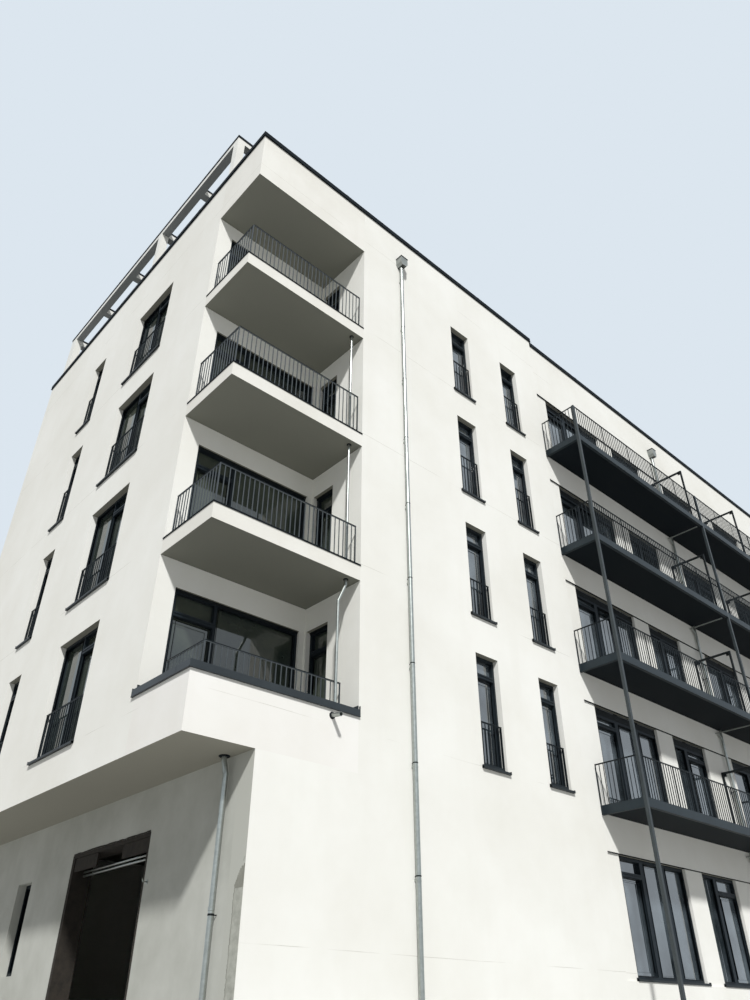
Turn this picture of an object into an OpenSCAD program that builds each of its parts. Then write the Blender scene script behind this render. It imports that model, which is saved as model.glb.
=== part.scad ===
// Corner apartment block: a five-storey street building with corner loggias, steel balconies,
// an undercut ground storey and a roof pergola. Millimetres, +Z up, origin under the middle of the
// box round the whole building. The near corner of the building is the corner with the loggias.

/* [Levels] */
// top of the first upper floor above the ground
first_floor_level = 4390; // [4250:10:4700]
// floor to floor height of the upper storeys
storey_height = 3100; // [2950:10:3300]
// underside of the overhang over the ground storey
overhang_soffit = 3766; // [3680:2:3840]
// thickness of the floors and of the loggia slabs
floor_thickness = 300; // [240:5:340]
// thickness of the slab on the ground
ground_slab_thickness = 150; // [100:5:200]
// thickness of the roof slab, which is also the loggia roof
roof_slab_thickness = 360; // [300:5:420]
// height of the roof edge above the roof slab, coping included
roof_edge_height = 1285; // [1000:5:1400]

/* [Plan] */
// length of the plain plaster part at the corner, along the street front
corner_block_length = 9900; // [9500:10:10600]
// length of the part with the steel balconies
balcony_section_length = 19600; // [19300:10:20400]
// thickness of the plain wall towards the next house
party_wall_thickness = 450; // [300:10:600]
// depth of the building, from front to rear
building_depth = 11965; // [11900:5:12400]
// thickness of the outer walls
wall_thickness = 360; // [320:5:380]
// step back of the balcony section behind the corner block
section_step = 100; // [60:5:140]
// thickness of the plaster bands between the window rows
band_thickness = 30; // [20:5:60]
// length by which the corner coping runs on past the corner block
coping_step_on = 45; // [20:5:60]
// set back of the ground storey wall on the side street
recess_depth = 1205; // [1100:5:1300]

/* [Corner loggias] */
// width of the loggia along the front
loggia_width = 3160; // [3100:5:3300]
// depth of the loggia along the side street
loggia_depth = 1605; // [1600:5:1800]
// height of the white parapet above the first floor
parapet_height = 275; // [220:5:330]
// height of the dark cap on the parapet
parapet_cap_height = 120; // [90:5:160]
// overhang of the roof coping and of the parapet cap
coping_overhang = 30; // [15:1:45]
// length by which the parapet cap runs on past the loggia on the side street
cap_run_on = 82; // [40:1:100]
// length by which the parapet cap runs on past the loggia on the front
cap_front_run_on = 16; // [5:1:30]
// thickness of the edge sheet on the loggia slabs
edge_sheet_thickness = 25; // [15:1:30]
// overhang of the edge sheet
edge_sheet_overhang = 15; // [8:1:25]
// width of the edge sheet lying on the slab
edge_sheet_width = 110; // [100:5:140]
// start of the wide loggia window from the side facade
loggia_window_start = 380; // [365:5:420]
// width of the wide loggia window
loggia_window_width = 2660; // [2500:5:2700]
// middle of the mullion of the wide loggia window from the start of the window
loggia_mullion = 863; // [800:1:950]
// height of the transom bar of the loggia windows above the floor
loggia_transom_height = 1840; // [1700:10:1900]
// set back of the frames behind the wall in the loggias
loggia_reveal_depth = 60; // [40:5:90]
// start of the small loggia window from the front facade
loggia_slit_start = 905; // [860:5:980]
// width of the small loggia window
loggia_slit_width = 640; // [560:5:700]
// set back of the frame of the small loggia window behind the wall
loggia_slit_reveal = 100; // [60:5:130]

/* [Windows] */
// height of a window sill or threshold above its floor
sill_height = 55; // [40:5:80]
// height of the window heads above their floor in the balcony section and in the rear
head_height = 2280; // [2200:10:2400]
// height of the window heads above their floor in the corner block, on the side street and in the loggias
corner_head_height = 2305; // [2200:5:2400]
// height of the transom bar above its floor in the balcony section and in the rear
transom_height = 1858; // [1750:2:1900]
// height of the transom bar above its floor in the narrow windows of the corner block
narrow_transom_height = 1880; // [1700:5:1980]
// height of the transom bar above its floor on the side street
side_transom_height = 1920; // [1800:5:2000]
// height of the transom bar in the ground storey
ground_transom_height = 3100; // [2950:5:3150]
// height of the window heads in the ground storey
ground_head_height = 3470; // [3300:10:3500]
// width of a frame bar seen from outside
frame_bar = 72; // [50:1:85]
// depth of a window frame
frame_depth = 70; // [50:1:90]
// thickness of the glazing
glass_thickness = 28; // [20:1:36]
// edge of the glazing held behind the frame bars
glass_edge_cover = 50; // [20:1:60]
// set back of the frames behind the plaster in the front and in the rear
reveal_depth = 125; // [100:5:160]
// set back of the frames behind the plaster on the side street
side_reveal_depth = 125; // [100:5:160]
// set back of the frames behind the wall in the balcony section
balcony_reveal_depth = 70; // [40:5:90]
// thickness of the metal window sills
sill_thickness = 25; // [12:1:35]
// height of the front edge of the window sills
sill_edge_height = 35; // [30:1:60]
// projection of the window sills in front of the wall
sill_projection = 50; // [35:1:70]
// length of the sill past the window on each side in the front and in the rear
sill_run_on = 55; // [40:5:80]
// length of the side street sills past the window towards the front facade
side_sill_front_run_on = 10; // [5:5:100]
// length of the side street sills past the window towards the rear
side_sill_rear_run_on = 105; // [40:5:140]
// start of the first narrow window in the front
narrow_window_a_start = 6240; // [6000:10:6400]
// start of the second narrow window in the front
narrow_window_b_start = 8255; // [8000:5:8400]
// width of the narrow windows in the front
narrow_window_width = 680; // [600:5:760]
// start of the wide window on the side street
side_wide_start = 3655; // [3500:10:3900]
// width of the wide window on the side street
side_wide_width = 1715; // [1500:10:1800]
// middle of the mullion of the wide window on the side street from the start of the window
side_mullion = 825; // [780:5:870]
// start of the narrow window on the side street
side_narrow_start = 7295; // [7100:5:7600]
// width of the narrow window on the side street
side_narrow_width = 685; // [560:5:700]

/* [Balcony windows] */
// start of the three-part window from the end of the section
triple_start = 595; // [500:5:640]
// width of the three-part window
triple_width = 2670; // [2500:10:2760]
// start of the two-part window from the end of the section
double_start = 4010; // [3900:10:4100]
// width of the two-part window
double_width = 1630; // [1500:10:1700]
// distance of the middle windows from the middle of the section
middle_gap = 760; // [700:5:900]
// width of the middle window
middle_width = 1935; // [1800:5:2000]
// width of the mullions in the balcony section
coupled_mullion = 175; // [140:5:200]
// height of the blind boxes over the windows of the balcony section
blind_box_height = 170; // [140:5:200]
// depth of the blind boxes
blind_box_depth = 150; // [110:5:170]
// set back of the blind boxes behind the wall
blind_box_inset = 65; // [40:1:80]

/* [Rear windows] */
// distance of the outer rear windows from the ends of the rear wall
rear_margin = 2600; // [2400:50:2900]
// width of a rear window
rear_window_width = 1630; // [1400:10:1800]

/* [Railings] */
// width of a railing bar
bar_width = 12; // [10:1:18]
// distance between railing bars
bar_pitch = 101; // [90:1:115]
// depth of the railing panels
panel_depth = 16; // [12:1:24]
// height of the top rail
top_rail = 25; // [20:1:40]
// height of the bottom rail of the window railings
bottom_rail = 65; // [30:1:80]
// height of the loggia railings on the two lower levels
low_railing = 870; // [820:10:950]
// height of the loggia railings on the two upper levels
high_railing = 1040; // [980:10:1100]
// set back of the loggia railings behind the slab edge
loggia_railing_inset = 66; // [50:1:72]
// end gap between a loggia railing and the front wall
loggia_railing_end_gap = 67; // [40:1:90]
// end gap between a loggia railing and the side wall
loggia_side_end_gap = 137; // [60:1:160]
// set back of the lowest loggia railing behind the parapet face
parapet_railing_inset = 390; // [385:1:420]
// height of the lowest loggia railing above the first floor
parapet_railing_height = 950; // [900:5:1000]
// end gap between the lowest loggia railing and the walls
parapet_railing_end_gap = 82; // [50:1:110]
// set back of the window railings behind the plaster
french_inset = 60; // [20:1:80]
// underside of the window railings above the floor
french_bottom = 80; // [70:1:110]
// top of the window railings above the floor in the low storeys
french_low_top = 940; // [880:5:1000]
// top of the window railings above the floor in the upper storeys
french_high_top = 1150; // [1050:5:1200]

/* [Steel balconies] */
// depth of the balconies in front of the corner block plane
balcony_depth = 1000; // [900:10:1100]
// gap between the balconies and the ends of their section
balcony_end_gap = 145; // [100:5:200]
// height of the steel edge channel
channel_height = 175; // [150:5:200]
// thickness of the steel edge channel
channel_thickness = 60; // [40:2:80]
// top of the lowest edge channel above the first floor
channel_rise = -38; // [-60:2:0]
// added height above its floor of each further edge channel
channel_step = 56; // [0:2:60]
// height of the balcony railings on the two lower levels
balcony_low_railing = 865; // [820:5:950]
// height of the balcony railings on the two upper levels
balcony_high_railing = 990; // [940:5:995]
// thickness of the deck plate
deck_thickness = 60; // [40:5:75]
// drop of the deck plate below the channel top
deck_drop = 80; // [60:5:90]
// width of the square steel posts
post_width = 70; // [60:1:100]
// start of the second post from the end of the section
inner_post_start = 6800; // [6740:10:6950]
// height of the posts above the highest edge channel
post_rise = 1000; // [1000:5:1100]
// gap between railing panels and posts
panel_gap = 10; // [5:1:20]
// start of the side privacy frame from the end of the section
privacy_start = 6305; // [6200:5:6350]
// width of the privacy frame bars
privacy_bar = 50; // [40:2:70]
// height of the privacy frames above the edge channel
privacy_height = 1800; // [1700:5:1850]
// gap between the privacy frames and the wall
privacy_wall_gap = 6; // [4:1:30]

/* [Pergola] */
// height of the pergola above the roof coping
pergola_height = 2019; // [1800:5:2200]
// set back of the pergola behind the side facade
pergola_inset = 105; // [80:5:140]
// start of the pergola from the front facade
pergola_start = 1618; // [1500:2:1700]
// distance of the pergola from the rear facade
pergola_rear_inset = 269; // [200:1:400]
// width of the pergola, measured from the side street
pergola_width = 3505; // [3400:5:3700]
// width of the pergola beams and posts
beam_width = 210; // [180:5:230]
// height of the white pergola beams
beam_height = 182; // [160:2:220]
// height of the dark coping on the beams
beam_coping_height = 60; // [40:2:80]
// overhang of the dark coping on the beams
beam_coping_overhang = 12; // [5:1:20]
// length of the long pergola post at the far end
far_post_length = 400; // [300:10:450]

/* [Ground storey openings] */
// start of the gateway from the front facade
gate_start = 2745; // [2600:5:2850]
// width of the gateway
gate_width = 2795; // [2600:5:2900]
// height of the gateway
gate_height = 3050; // [2950:10:3100]
// thickness of the lining in the gateway
lining_thickness = 60; // [40:2:80]
// seam between two pieces of the lining
lining_seam = 6; // [5:1:12]
// underside of the boards that close the top of the gateway
lining_board_low = 2766; // [2700:2:2850]
// thickness of the boards that close the top of the gateway
lining_board_thickness = 22; // [15:1:40]
// set back of the boards behind the recessed wall face
lining_board_inset = 18; // [10:1:30]
// width of one of the boards, of which the middle one is missing
lining_board_width = 870; // [800:5:890]
// start of the narrow window opening from the front facade
slot_start = 7290; // [7100:5:7500]
// width of the narrow window opening
slot_width = 660; // [600:5:720]
// sill of the narrow window opening
slot_sill = 1245; // [1150:5:1300]
// head of the narrow window opening
slot_head = 2810; // [2700:5:2900]
// height of the lower gate rail
gate_rail_height = 2724; // [2600:2:2740]
// distance between the two gate rails
gate_rail_spacing = 63; // [50:1:100]
// radius of the gate rails
gate_rail_radius = 20; // [15:1:25]
// set back of the gate rails behind the recessed wall face
gate_rail_inset = 225; // [80:5:250]
// set back of the fixed window in the narrow window opening behind the recessed wall face
slot_reveal = 160; // [100:5:200]

/* [Rainwater] */
// radius of the downpipe of the corner block
corner_pipe_radius = 44; // [36:1:50]
// radius of the downpipe of the balcony section
balcony_pipe_radius = 36; // [30:1:44]
// radius of the downpipe on the recessed wall
recess_pipe_radius = 39; // [34:1:50]
// distance from the front facade to the middle of its downpipe
corner_pipe_offset = 80; // [64:1:110]
// place of the downpipe along the corner block
corner_pipe_x = 4365; // [4200:5:4500]
// place of the downpipe in the balcony section from its end
balcony_pipe_start = 6668; // [6600:1:6700]
// distance from the band face to the middle of the balcony downpipe
balcony_pipe_offset = 60; // [56:1:80]
// height of the lower end of the downpipes
pipe_foot_gap = 60; // [40:5:120]
// gap between the lengths of the balcony downpipe and the decks
pipe_deck_gap = 5; // [2:1:10]
// distance from the recessed wall to the middle of its downpipe
recess_pipe_offset = 90; // [75:1:110]
// distance from the front facade to the downpipe on the recessed wall
recess_pipe_start = 578; // [540:2:700]
// length of the downpipe between the overhang and the bend
recess_pipe_neck = 60; // [40:5:150]
// height of the bend in the downpipe on the recessed wall
recess_pipe_bend = 190; // [150:5:300]
// width of the rainwater hoppers
hopper_width = 220; // [200:5:260]
// height of the rainwater hoppers
hopper_height = 310; // [280:5:340]
// depth of the rainwater hoppers
hopper_depth = 200; // [180:5:220]
// top of the corner block hopper below the roof coping
corner_hopper_drop = 1045; // [950:5:1100]
// top of the balcony section hopper below the roof coping
balcony_hopper_drop = 875; // [800:5:950]
// width of a pipe bracket
bracket_width = 30; // [20:1:40]
// height of a pipe bracket
bracket_height = 40; // [25:1:50]
// distance between pipe brackets
bracket_pitch = 1730; // [1600:10:1800]
// height of the lowest pipe bracket of the corner block
first_bracket = 2340; // [2200:10:2500]
// radius of the drains under the balconies
drain_radius = 18; // [14:1:40]
// distance of the drains below the edge channel
drain_drop = 90; // [80:2:110]
// distance of the drains from the first privacy frame
drain_offset = 185; // [150:5:220]
// set back of the drain ends behind the balcony front
drain_end_gap = 80; // [70:5:200]
// radius of the thin drain pipes in the loggias
thin_pipe_radius = 25; // [20:1:30]
// distance of the thin drain pipes from the front wall of the loggia
thin_pipe_end_gap = 225; // [200:5:300]
// distance of the thin drain pipes behind the front facade
thin_pipe_inset = 145; // [140:1:180]
// length of the drain pipe between the lowest loggia ceiling and the bend
thin_pipe_neck = 110; // [80:5:150]
// height of the bend in the drain pipe of the lowest loggia
thin_pipe_bend = 372; // [300:2:450]
// sideways step of the drain pipe in the lowest loggia
thin_pipe_step = 163; // [120:1:200]
// place of the overflow spout along the front
spout_x = 2599; // [2450:1:2700]
// height of the overflow spout above the first floor
spout_rise = 174; // [150:2:190]
// radius of the overflow spout
spout_radius = 35; // [30:1:40]
// sheet thickness of the overflow spout
spout_sheet = 5; // [4:1:8]
// length of the overflow spout
spout_reach = 212; // [150:2:240]
// fall of the overflow spout over its length
spout_fall = 30; // [10:1:40]
// radius of the rosette round the overflow spout
rosette_radius = 56; // [50:1:60]
// thickness of the rosette round the overflow spout
rosette_thickness = 8; // [6:1:12]

/* [Hidden] */
$fn = 64;
upper_storeys = 4;
low_railing_storeys = 2;
roof_level = first_floor_level + upper_storeys * storey_height;
coping_height = 150;
coping_joint = 6;
coping_top = roof_level + roof_edge_height;
wall_top = coping_top - coping_height;
roof_underside = roof_level - roof_slab_thickness;
section_end = corner_block_length + balcony_section_length;
block_length = section_end + party_wall_thickness;
window_height = head_height - sill_height;
corner_window_height = corner_head_height - sill_height;
ground_sill_height = ground_head_height - window_height;
band_face = section_step;
row_face = section_step + band_thickness;
row_inner = row_face + wall_thickness;
rear_inner = building_depth - wall_thickness;
parapet_top = first_floor_level + parapet_height;
mirror_sum = corner_block_length + section_end;
rear_columns = 7;
triple_splits = [0.35, 0.675];
double_split = 0.42;
middle_split = 0.53;
rear_pitch = (section_end - 2 * rear_margin - rear_window_width) / (rear_columns - 1);
boxed_height = window_height - blind_box_height;

balcony_left = corner_block_length + balcony_end_gap;
balcony_right = section_end - balcony_end_gap;
balcony_front = -balcony_depth;
pergola_top = coping_top + pergola_height;
beam_top = pergola_top - beam_coping_height;
beam_bottom = beam_top - beam_height;
pergola_left = pergola_inset;
pergola_right = pergola_inset + pergola_width;
pergola_end = building_depth - pergola_rear_inset;
pergola_length = pergola_end - pergola_start;
cross_beams = 6;
cross_beam_pitch = (pergola_length - beam_width) / (cross_beams - 1);
hopper_taper = 90;
hopper_neck = 130;
bend_joint = 2;
cut_margin = 1;
pipe_step_x = 32;
pipe_step_y = 28;

// the box round the whole building
box_left = -sill_projection;
box_right = block_length + coping_overhang;
box_front = balcony_front;
box_rear = building_depth + sill_projection;
centre_x = (box_left + box_right) / 2;
centre_y = (box_front + box_rear) / 2;

// top of an upper floor
function floor_level(storey) = first_floor_level + (storey - 1) * storey_height;

// sill of the windows in a storey of the balcony section or the rear, 0 being the ground storey
function row_sill(storey) = storey == 0 ? ground_sill_height : floor_level(storey) + sill_height;

// head of the windows in a storey, 0 being the ground storey
function row_head(storey) = row_sill(storey) + window_height;

// height of the frames in a storey of the balcony section, under the blind boxes of the upper storeys
function row_pane(storey) = storey == 0 ? window_height : boxed_height;

// middle of the transom bars in a storey, 0 being the ground storey
function row_transom(storey) =
  storey == 0 ? ground_transom_height : floor_level(storey) + transom_height;

// top of the edge channel of a balcony
function channel_top(storey) = floor_level(storey) + channel_rise + (storey - 1) * channel_step;

// top of the deck plate of a balcony
function deck_top(storey) = channel_top(storey) - deck_drop;

// a window is given by its start, its width, the middles of its mullions and a 1 for each part that opens
function mirrored(item) = [
  mirror_sum - item[0] - item[1], item[1],
  [for (i = [len(item[2]) - 1 : -1 : 0]) item[1] - item[2][i]],
  [for (i = [len(item[3]) - 1 : -1 : 0]) item[3][i]]
];
middle_start = balcony_section_length / 2 - middle_gap - middle_width;
left_row = [
  [
    corner_block_length + triple_start, triple_width,
    [for (split = triple_splits) triple_width * split], [1, 0, 0]
  ],
  [corner_block_length + double_start, double_width, [double_width * double_split], [0, 1]],
  [corner_block_length + middle_start, middle_width, [middle_width * middle_split], [0, 1]]
];
window_row = concat(left_row, [for (item = left_row) mirrored(item)]);
rear_row = [for (i = [0 : rear_columns - 1])
  [rear_margin + i * rear_pitch, rear_window_width, [rear_window_width / 2], [1, 0]]];
narrow_row = [
  [narrow_window_a_start, narrow_window_width, [], [1]],
  [narrow_window_b_start, narrow_window_width, [], [1]]
];
side_row = [
  [side_wide_start, side_wide_width, [side_mullion], [1, 0]],
  [side_narrow_start, side_narrow_width, [], [1]]
];
loggia_wide = [loggia_window_start, loggia_window_width, [loggia_mullion], [1, 0]];
loggia_slit = [loggia_slit_start, loggia_slit_width, [], [1]];
ground_slot = [slot_start, slot_width, [], [0]];
slot_height = slot_head - slot_sill;
left_posts = [balcony_left + post_width / 2, corner_block_length + inner_post_start];
post_places = concat(left_posts, [for (i = [1, 0]) mirror_sum - left_posts[i]]);
privacy_places = [
  corner_block_length + privacy_start,
  mirror_sum / 2,
  mirror_sum - corner_block_length - privacy_start
];

// moves a piece from the near corner of the building to the shared origin
module placed() {
  translate([-centre_x, -centre_y, 0]) children();
}

// a plate facing the street front, drawn in x and z
module front_plate(face, thickness) {
  translate([0, face + thickness, 0]) rotate([90, 0, 0]) linear_extrude(thickness) children();
}

// a plate facing the side street, drawn in y and z
module side_plate(face, thickness) {
  translate([face, 0, 0]) rotate([90, 0, 90]) linear_extrude(thickness) children();
}

// a rectangle from its low corner
module area(left, low, width, height) {
  translate([left, low]) square([width, height]);
}

// a box from its low corner
module block(low, size) {
  translate(low) cube(size);
}

// the openings of one row of windows
module row_holes(row, low, height) {
  for (item = row) area(item[0], low, item[1], height);
}

// a window frame, with a transom bar in each part that opens
module frame_outline(item, low, height, transom, mullion) {
  lefts = concat([frame_bar], [for (m = item[2]) m + mullion / 2]);
  rights = concat([for (m = item[2]) m - mullion / 2], [item[1] - frame_bar]);
  inner_low = low + frame_bar;
  inner_high = low + height - frame_bar;
  bar_low = transom - frame_bar / 2;
  bar_high = transom + frame_bar / 2;
  difference() {
    area(item[0], low, item[1], height);
    for (i = [0 : len(lefts) - 1]) {
      left = item[0] + lefts[i];
      width = rights[i] - lefts[i];
      if (item[3][i] == 1) {
        area(left, inner_low, width, bar_low - inner_low);
        area(left, bar_high, width, inner_high - bar_high);
      }
      if (item[3][i] == 0) area(left, inner_low, width, inner_high - inner_low);
    }
  }
}

// the glazing behind a window frame
module glass_outline(item, low, height) {
  edge = frame_bar - glass_edge_cover;
  area(item[0] + edge, low + edge, item[1] - 2 * edge, height - 2 * edge);
}

// a sill: the plate in the wall and the longer edge in front of it
module sill(start, width, top, before, after) {
  block([start, 0, top - sill_thickness], [width, wall_thickness, sill_thickness]);
  block(
    [start - before, -sill_projection, top - sill_edge_height],
    [before + width + after, sill_projection, sill_edge_height]
  );
}

// a flat railing panel; without a bottom rail its bars run down to what carries it
module railing_outline(start, length, low, height, foot) {
  gaps = round((length - bar_width) / bar_pitch);
  pitch = (length - bar_width) / gaps;
  slot_low = foot > 0 ? low + foot : low - cut_margin;
  difference() {
    area(start, low, length, height);
    for (i = [0 : gaps - 1]) {
      area(start + i * pitch + bar_width, slot_low, pitch - bar_width, low + height - top_rail - slot_low);
    }
  }
}

module floor_slabs() {
  color("gainsboro") placed() {
    linear_extrude(ground_slab_thickness) polygon([
      [recess_depth + wall_thickness, wall_thickness], [corner_block_length, wall_thickness],
      [corner_block_length, row_inner], [section_end, row_inner],
      [section_end, rear_inner], [recess_depth + wall_thickness, rear_inner]
    ]);
    translate([0, 0, first_floor_level - floor_thickness]) linear_extrude(floor_thickness) polygon([
      [recess_depth, loggia_depth], [loggia_width, loggia_depth], [loggia_width, wall_thickness],
      [corner_block_length, wall_thickness], [corner_block_length, row_inner],
      [section_end, row_inner], [section_end, rear_inner], [recess_depth, rear_inner]
    ]);
    for (storey = [2 : upper_storeys]) {
      translate([0, 0, floor_level(storey) - floor_thickness]) linear_extrude(floor_thickness) polygon([
        [wall_thickness, loggia_depth + wall_thickness],
        [loggia_width + wall_thickness, loggia_depth + wall_thickness],
        [loggia_width + wall_thickness, wall_thickness], [corner_block_length, wall_thickness],
        [corner_block_length, row_inner], [section_end, row_inner],
        [section_end, rear_inner], [wall_thickness, rear_inner]
      ]);
    }
  }
}

module overhang_slab() {
  color("dimgray") placed() block(
    [wall_thickness, loggia_depth, overhang_soffit],
    [recess_depth - wall_thickness, rear_inner - loggia_depth, first_floor_level - overhang_soffit]
  );
}

module roof_slab() {
  color("gray") placed() translate([0, 0, roof_underside]) linear_extrude(roof_slab_thickness) polygon([
    [wall_thickness, wall_thickness], [corner_block_length, wall_thickness],
    [corner_block_length, row_inner], [section_end, row_inner],
    [section_end, rear_inner], [wall_thickness, rear_inner]
  ]);
}

// the ground storey of the corner block front and of the rear
module ground_walls() {
  color("whitesmoke") placed() {
    block([recess_depth, 0, 0], [corner_block_length - recess_depth, wall_thickness, overhang_soffit]);
    front_plate(rear_inner, wall_thickness) difference() {
      area(recess_depth, 0, section_end - recess_depth, overhang_soffit);
      row_holes(rear_row, ground_sill_height - sill_thickness, window_height + sill_thickness);
    }
  }
}

module recess_wall() {
  color("whitesmoke") placed() side_plate(recess_depth, wall_thickness) difference() {
    area(wall_thickness, 0, rear_inner - wall_thickness, overhang_soffit);
    area(gate_start, -cut_margin, gate_width, gate_height + cut_margin);
    area(slot_start, slot_sill, slot_width, slot_height);
  }
}

module corner_block_wall() {
  color("ivory") placed() front_plate(0, wall_thickness) difference() {
    area(loggia_width, overhang_soffit, corner_block_length - loggia_width, wall_top - overhang_soffit);
    for (storey = [1 : upper_storeys]) {
      row_holes(narrow_row, row_sill(storey) - sill_thickness, corner_window_height + sill_thickness);
    }
  }
}

module balcony_section_wall() {
  color("ivory") placed() front_plate(row_face, wall_thickness) difference() {
    area(corner_block_length, 0, balcony_section_length, wall_top);
    row_holes(window_row, row_sill(0) - sill_thickness, window_height + sill_thickness);
    for (storey = [1 : upper_storeys]) row_holes(window_row, row_sill(storey), window_height);
  }
}

// the plaster bands that stand out between the window rows
module spandrel_bands() {
  color("ivory") placed() front_plate(band_face, band_thickness) {
    area(corner_block_length, 0, balcony_section_length, ground_sill_height - sill_edge_height);
    for (storey = [1 : upper_storeys]) {
      area(
        corner_block_length, row_head(storey - 1),
        balcony_section_length, floor_level(storey) - row_head(storey - 1)
      );
    }
    area(
      corner_block_length, row_head(upper_storeys),
      balcony_section_length, wall_top - row_head(upper_storeys)
    );
  }
}

module side_wall() {
  color("ivory") placed() side_plate(0, wall_thickness) difference() {
    area(loggia_depth, overhang_soffit, rear_inner - loggia_depth, wall_top - overhang_soffit);
    for (storey = [1 : upper_storeys]) {
      row_holes(side_row, row_sill(storey) - sill_thickness, corner_window_height + sill_thickness);
    }
  }
}

module rear_wall() {
  color("ivory") placed() front_plate(rear_inner, wall_thickness) difference() {
    area(0, overhang_soffit, section_end, wall_top - overhang_soffit);
    for (storey = [1 : upper_storeys]) {
      row_holes(rear_row, row_sill(storey) - sill_thickness, window_height + sill_thickness);
    }
  }
}

module party_wall() {
  color("ivory") placed() block([section_end, 0, 0], [party_wall_thickness, building_depth, wall_top]);
}

module loggia_back_wall() {
  width = loggia_width;
  color("ivory") placed() front_plate(loggia_depth, wall_thickness) difference() {
    area(wall_thickness, first_floor_level, width, roof_underside - first_floor_level);
    for (storey = [1 : upper_storeys]) {
      area(loggia_window_start, row_sill(storey), loggia_window_width, corner_window_height);
    }
  }
}

module loggia_side_wall() {
  color("ivory") placed() side_plate(loggia_width, wall_thickness) difference() {
    area(
      wall_thickness, first_floor_level,
      loggia_depth - wall_thickness, roof_underside - first_floor_level
    );
    for (storey = [1 : upper_storeys]) {
      area(loggia_slit_start, row_sill(storey), loggia_slit_width, corner_window_height);
    }
  }
}

// the thick floor of the lowest loggia and the slabs of the three above it
module loggia_slabs() {
  color("dimgray") placed() {
    block(
      [wall_thickness, wall_thickness, overhang_soffit],
      [loggia_width - wall_thickness, loggia_depth - wall_thickness, first_floor_level - overhang_soffit]
    );
    for (storey = [2 : upper_storeys]) {
      block([0, 0, floor_level(storey) - floor_thickness], [loggia_width, loggia_depth, floor_thickness]);
    }
  }
}

module loggia_edge_sheets() {
  out = edge_sheet_overhang;
  color("black") placed() for (storey = [2 : upper_storeys]) {
    translate([0, 0, floor_level(storey)]) linear_extrude(edge_sheet_thickness) polygon([
      [-out, -out], [loggia_width, -out], [loggia_width, 0], [loggia_width, edge_sheet_width],
      [edge_sheet_width, edge_sheet_width], [edge_sheet_width, loggia_depth], [-out, loggia_depth]
    ]);
  }
}

module loggia_parapet() {
  color("white") placed() translate([0, 0, overhang_soffit]) linear_extrude(parapet_top - overhang_soffit)
    polygon([
      [0, 0], [loggia_width, 0], [loggia_width, wall_thickness],
      [wall_thickness, wall_thickness], [wall_thickness, loggia_depth], [0, loggia_depth]
    ]);
}

// the dark cap on the parapet, in two lengths with a joint at the corner
module parapet_cap() {
  out = coping_overhang;
  color("darkslategray") placed() translate([0, 0, parapet_top]) linear_extrude(parapet_cap_height) {
    area(-out, -out, loggia_width + cap_front_run_on + out, out);
    area(-out, -out, loggia_width + out, out + wall_thickness);
    polygon([
      [-out, wall_thickness + coping_joint], [wall_thickness, wall_thickness + coping_joint],
      [wall_thickness, loggia_depth], [0, loggia_depth],
      [0, loggia_depth + cap_run_on], [-out, loggia_depth + cap_run_on]
    ]);
  }
}

module corner_fascia() {
  color("ivory") placed() translate([0, 0, roof_underside]) linear_extrude(wall_top - roof_underside)
    polygon([
      [0, 0], [loggia_width, 0], [loggia_width, wall_thickness],
      [wall_thickness, wall_thickness], [wall_thickness, loggia_depth], [0, loggia_depth]
    ]);
}

// the dark coping on the roof edge, in five lengths with joints between them
module roof_coping() {
  out = coping_overhang;
  width = wall_thickness + 2 * out;
  step_end = corner_block_length + coping_step_on;
  color("darkslategray") placed() translate([0, 0, wall_top]) linear_extrude(coping_height) {
    area(-out, -out, step_end + out, width);
    area(
      step_end + coping_joint, band_face - out,
      section_end - out - 2 * coping_joint - step_end, band_thickness + width
    );
    area(-out, width - out + coping_joint, width, rear_inner - width - 2 * coping_joint);
    area(-out, rear_inner - out, section_end - coping_joint, width);
    area(section_end - out, -out, party_wall_thickness + 2 * out, building_depth + 2 * out);
  }
}

// outer posts stand on the coping, inner posts on the roof slab
module pergola_posts() {
  middle = pergola_start + 2 * cross_beam_pitch;
  color("white") placed() {
    for (spot = [
      [pergola_start, beam_width], [middle, beam_width], [pergola_end - far_post_length, far_post_length]
    ]) {
      block([pergola_left, spot[0], coping_top], [beam_width, spot[1], beam_bottom - coping_top]);
      block(
        [pergola_right - beam_width, spot[0], roof_level], [beam_width, spot[1], beam_bottom - roof_level]
      );
    }
  }
}

module pergola_long_beams() {
  color("white") placed() for (left = [pergola_left, pergola_right - beam_width]) {
    block([left, pergola_start, beam_bottom], [beam_width, pergola_length, beam_height]);
  }
}

module pergola_cross_beams() {
  length = pergola_width - 2 * beam_width;
  color("white") placed() for (i = [0 : cross_beams - 1]) {
    block(
      [pergola_left + beam_width, pergola_start + i * cross_beam_pitch, beam_bottom],
      [length, beam_width, beam_height]
    );
  }
}

module pergola_coping() {
  out = beam_coping_overhang;
  strip = beam_width + 2 * out;
  color("darkslategray") placed() translate([0, 0, beam_top]) linear_extrude(beam_coping_height)
  difference() {
    area(pergola_left - out, pergola_start - out, pergola_width + 2 * out, pergola_length + 2 * out);
    for (i = [0 : cross_beams - 2]) {
      area(
        pergola_left - out + strip, pergola_start - out + i * cross_beam_pitch + strip,
        pergola_width + 2 * out - 2 * strip, cross_beam_pitch - strip
      );
    }
  }
}

// the height of a loggia railing above its floor
function loggia_railing_height(storey) = storey <= low_railing_storeys ? low_railing : high_railing;

// the height of a balcony railing above its edge channel
function balcony_railing_height(storey) =
  storey <= low_railing_storeys ? balcony_low_railing : balcony_high_railing;

// the top of a window railing above its floor
function window_railing_top(storey) = storey <= low_railing_storeys ? french_low_top : french_high_top;

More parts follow.
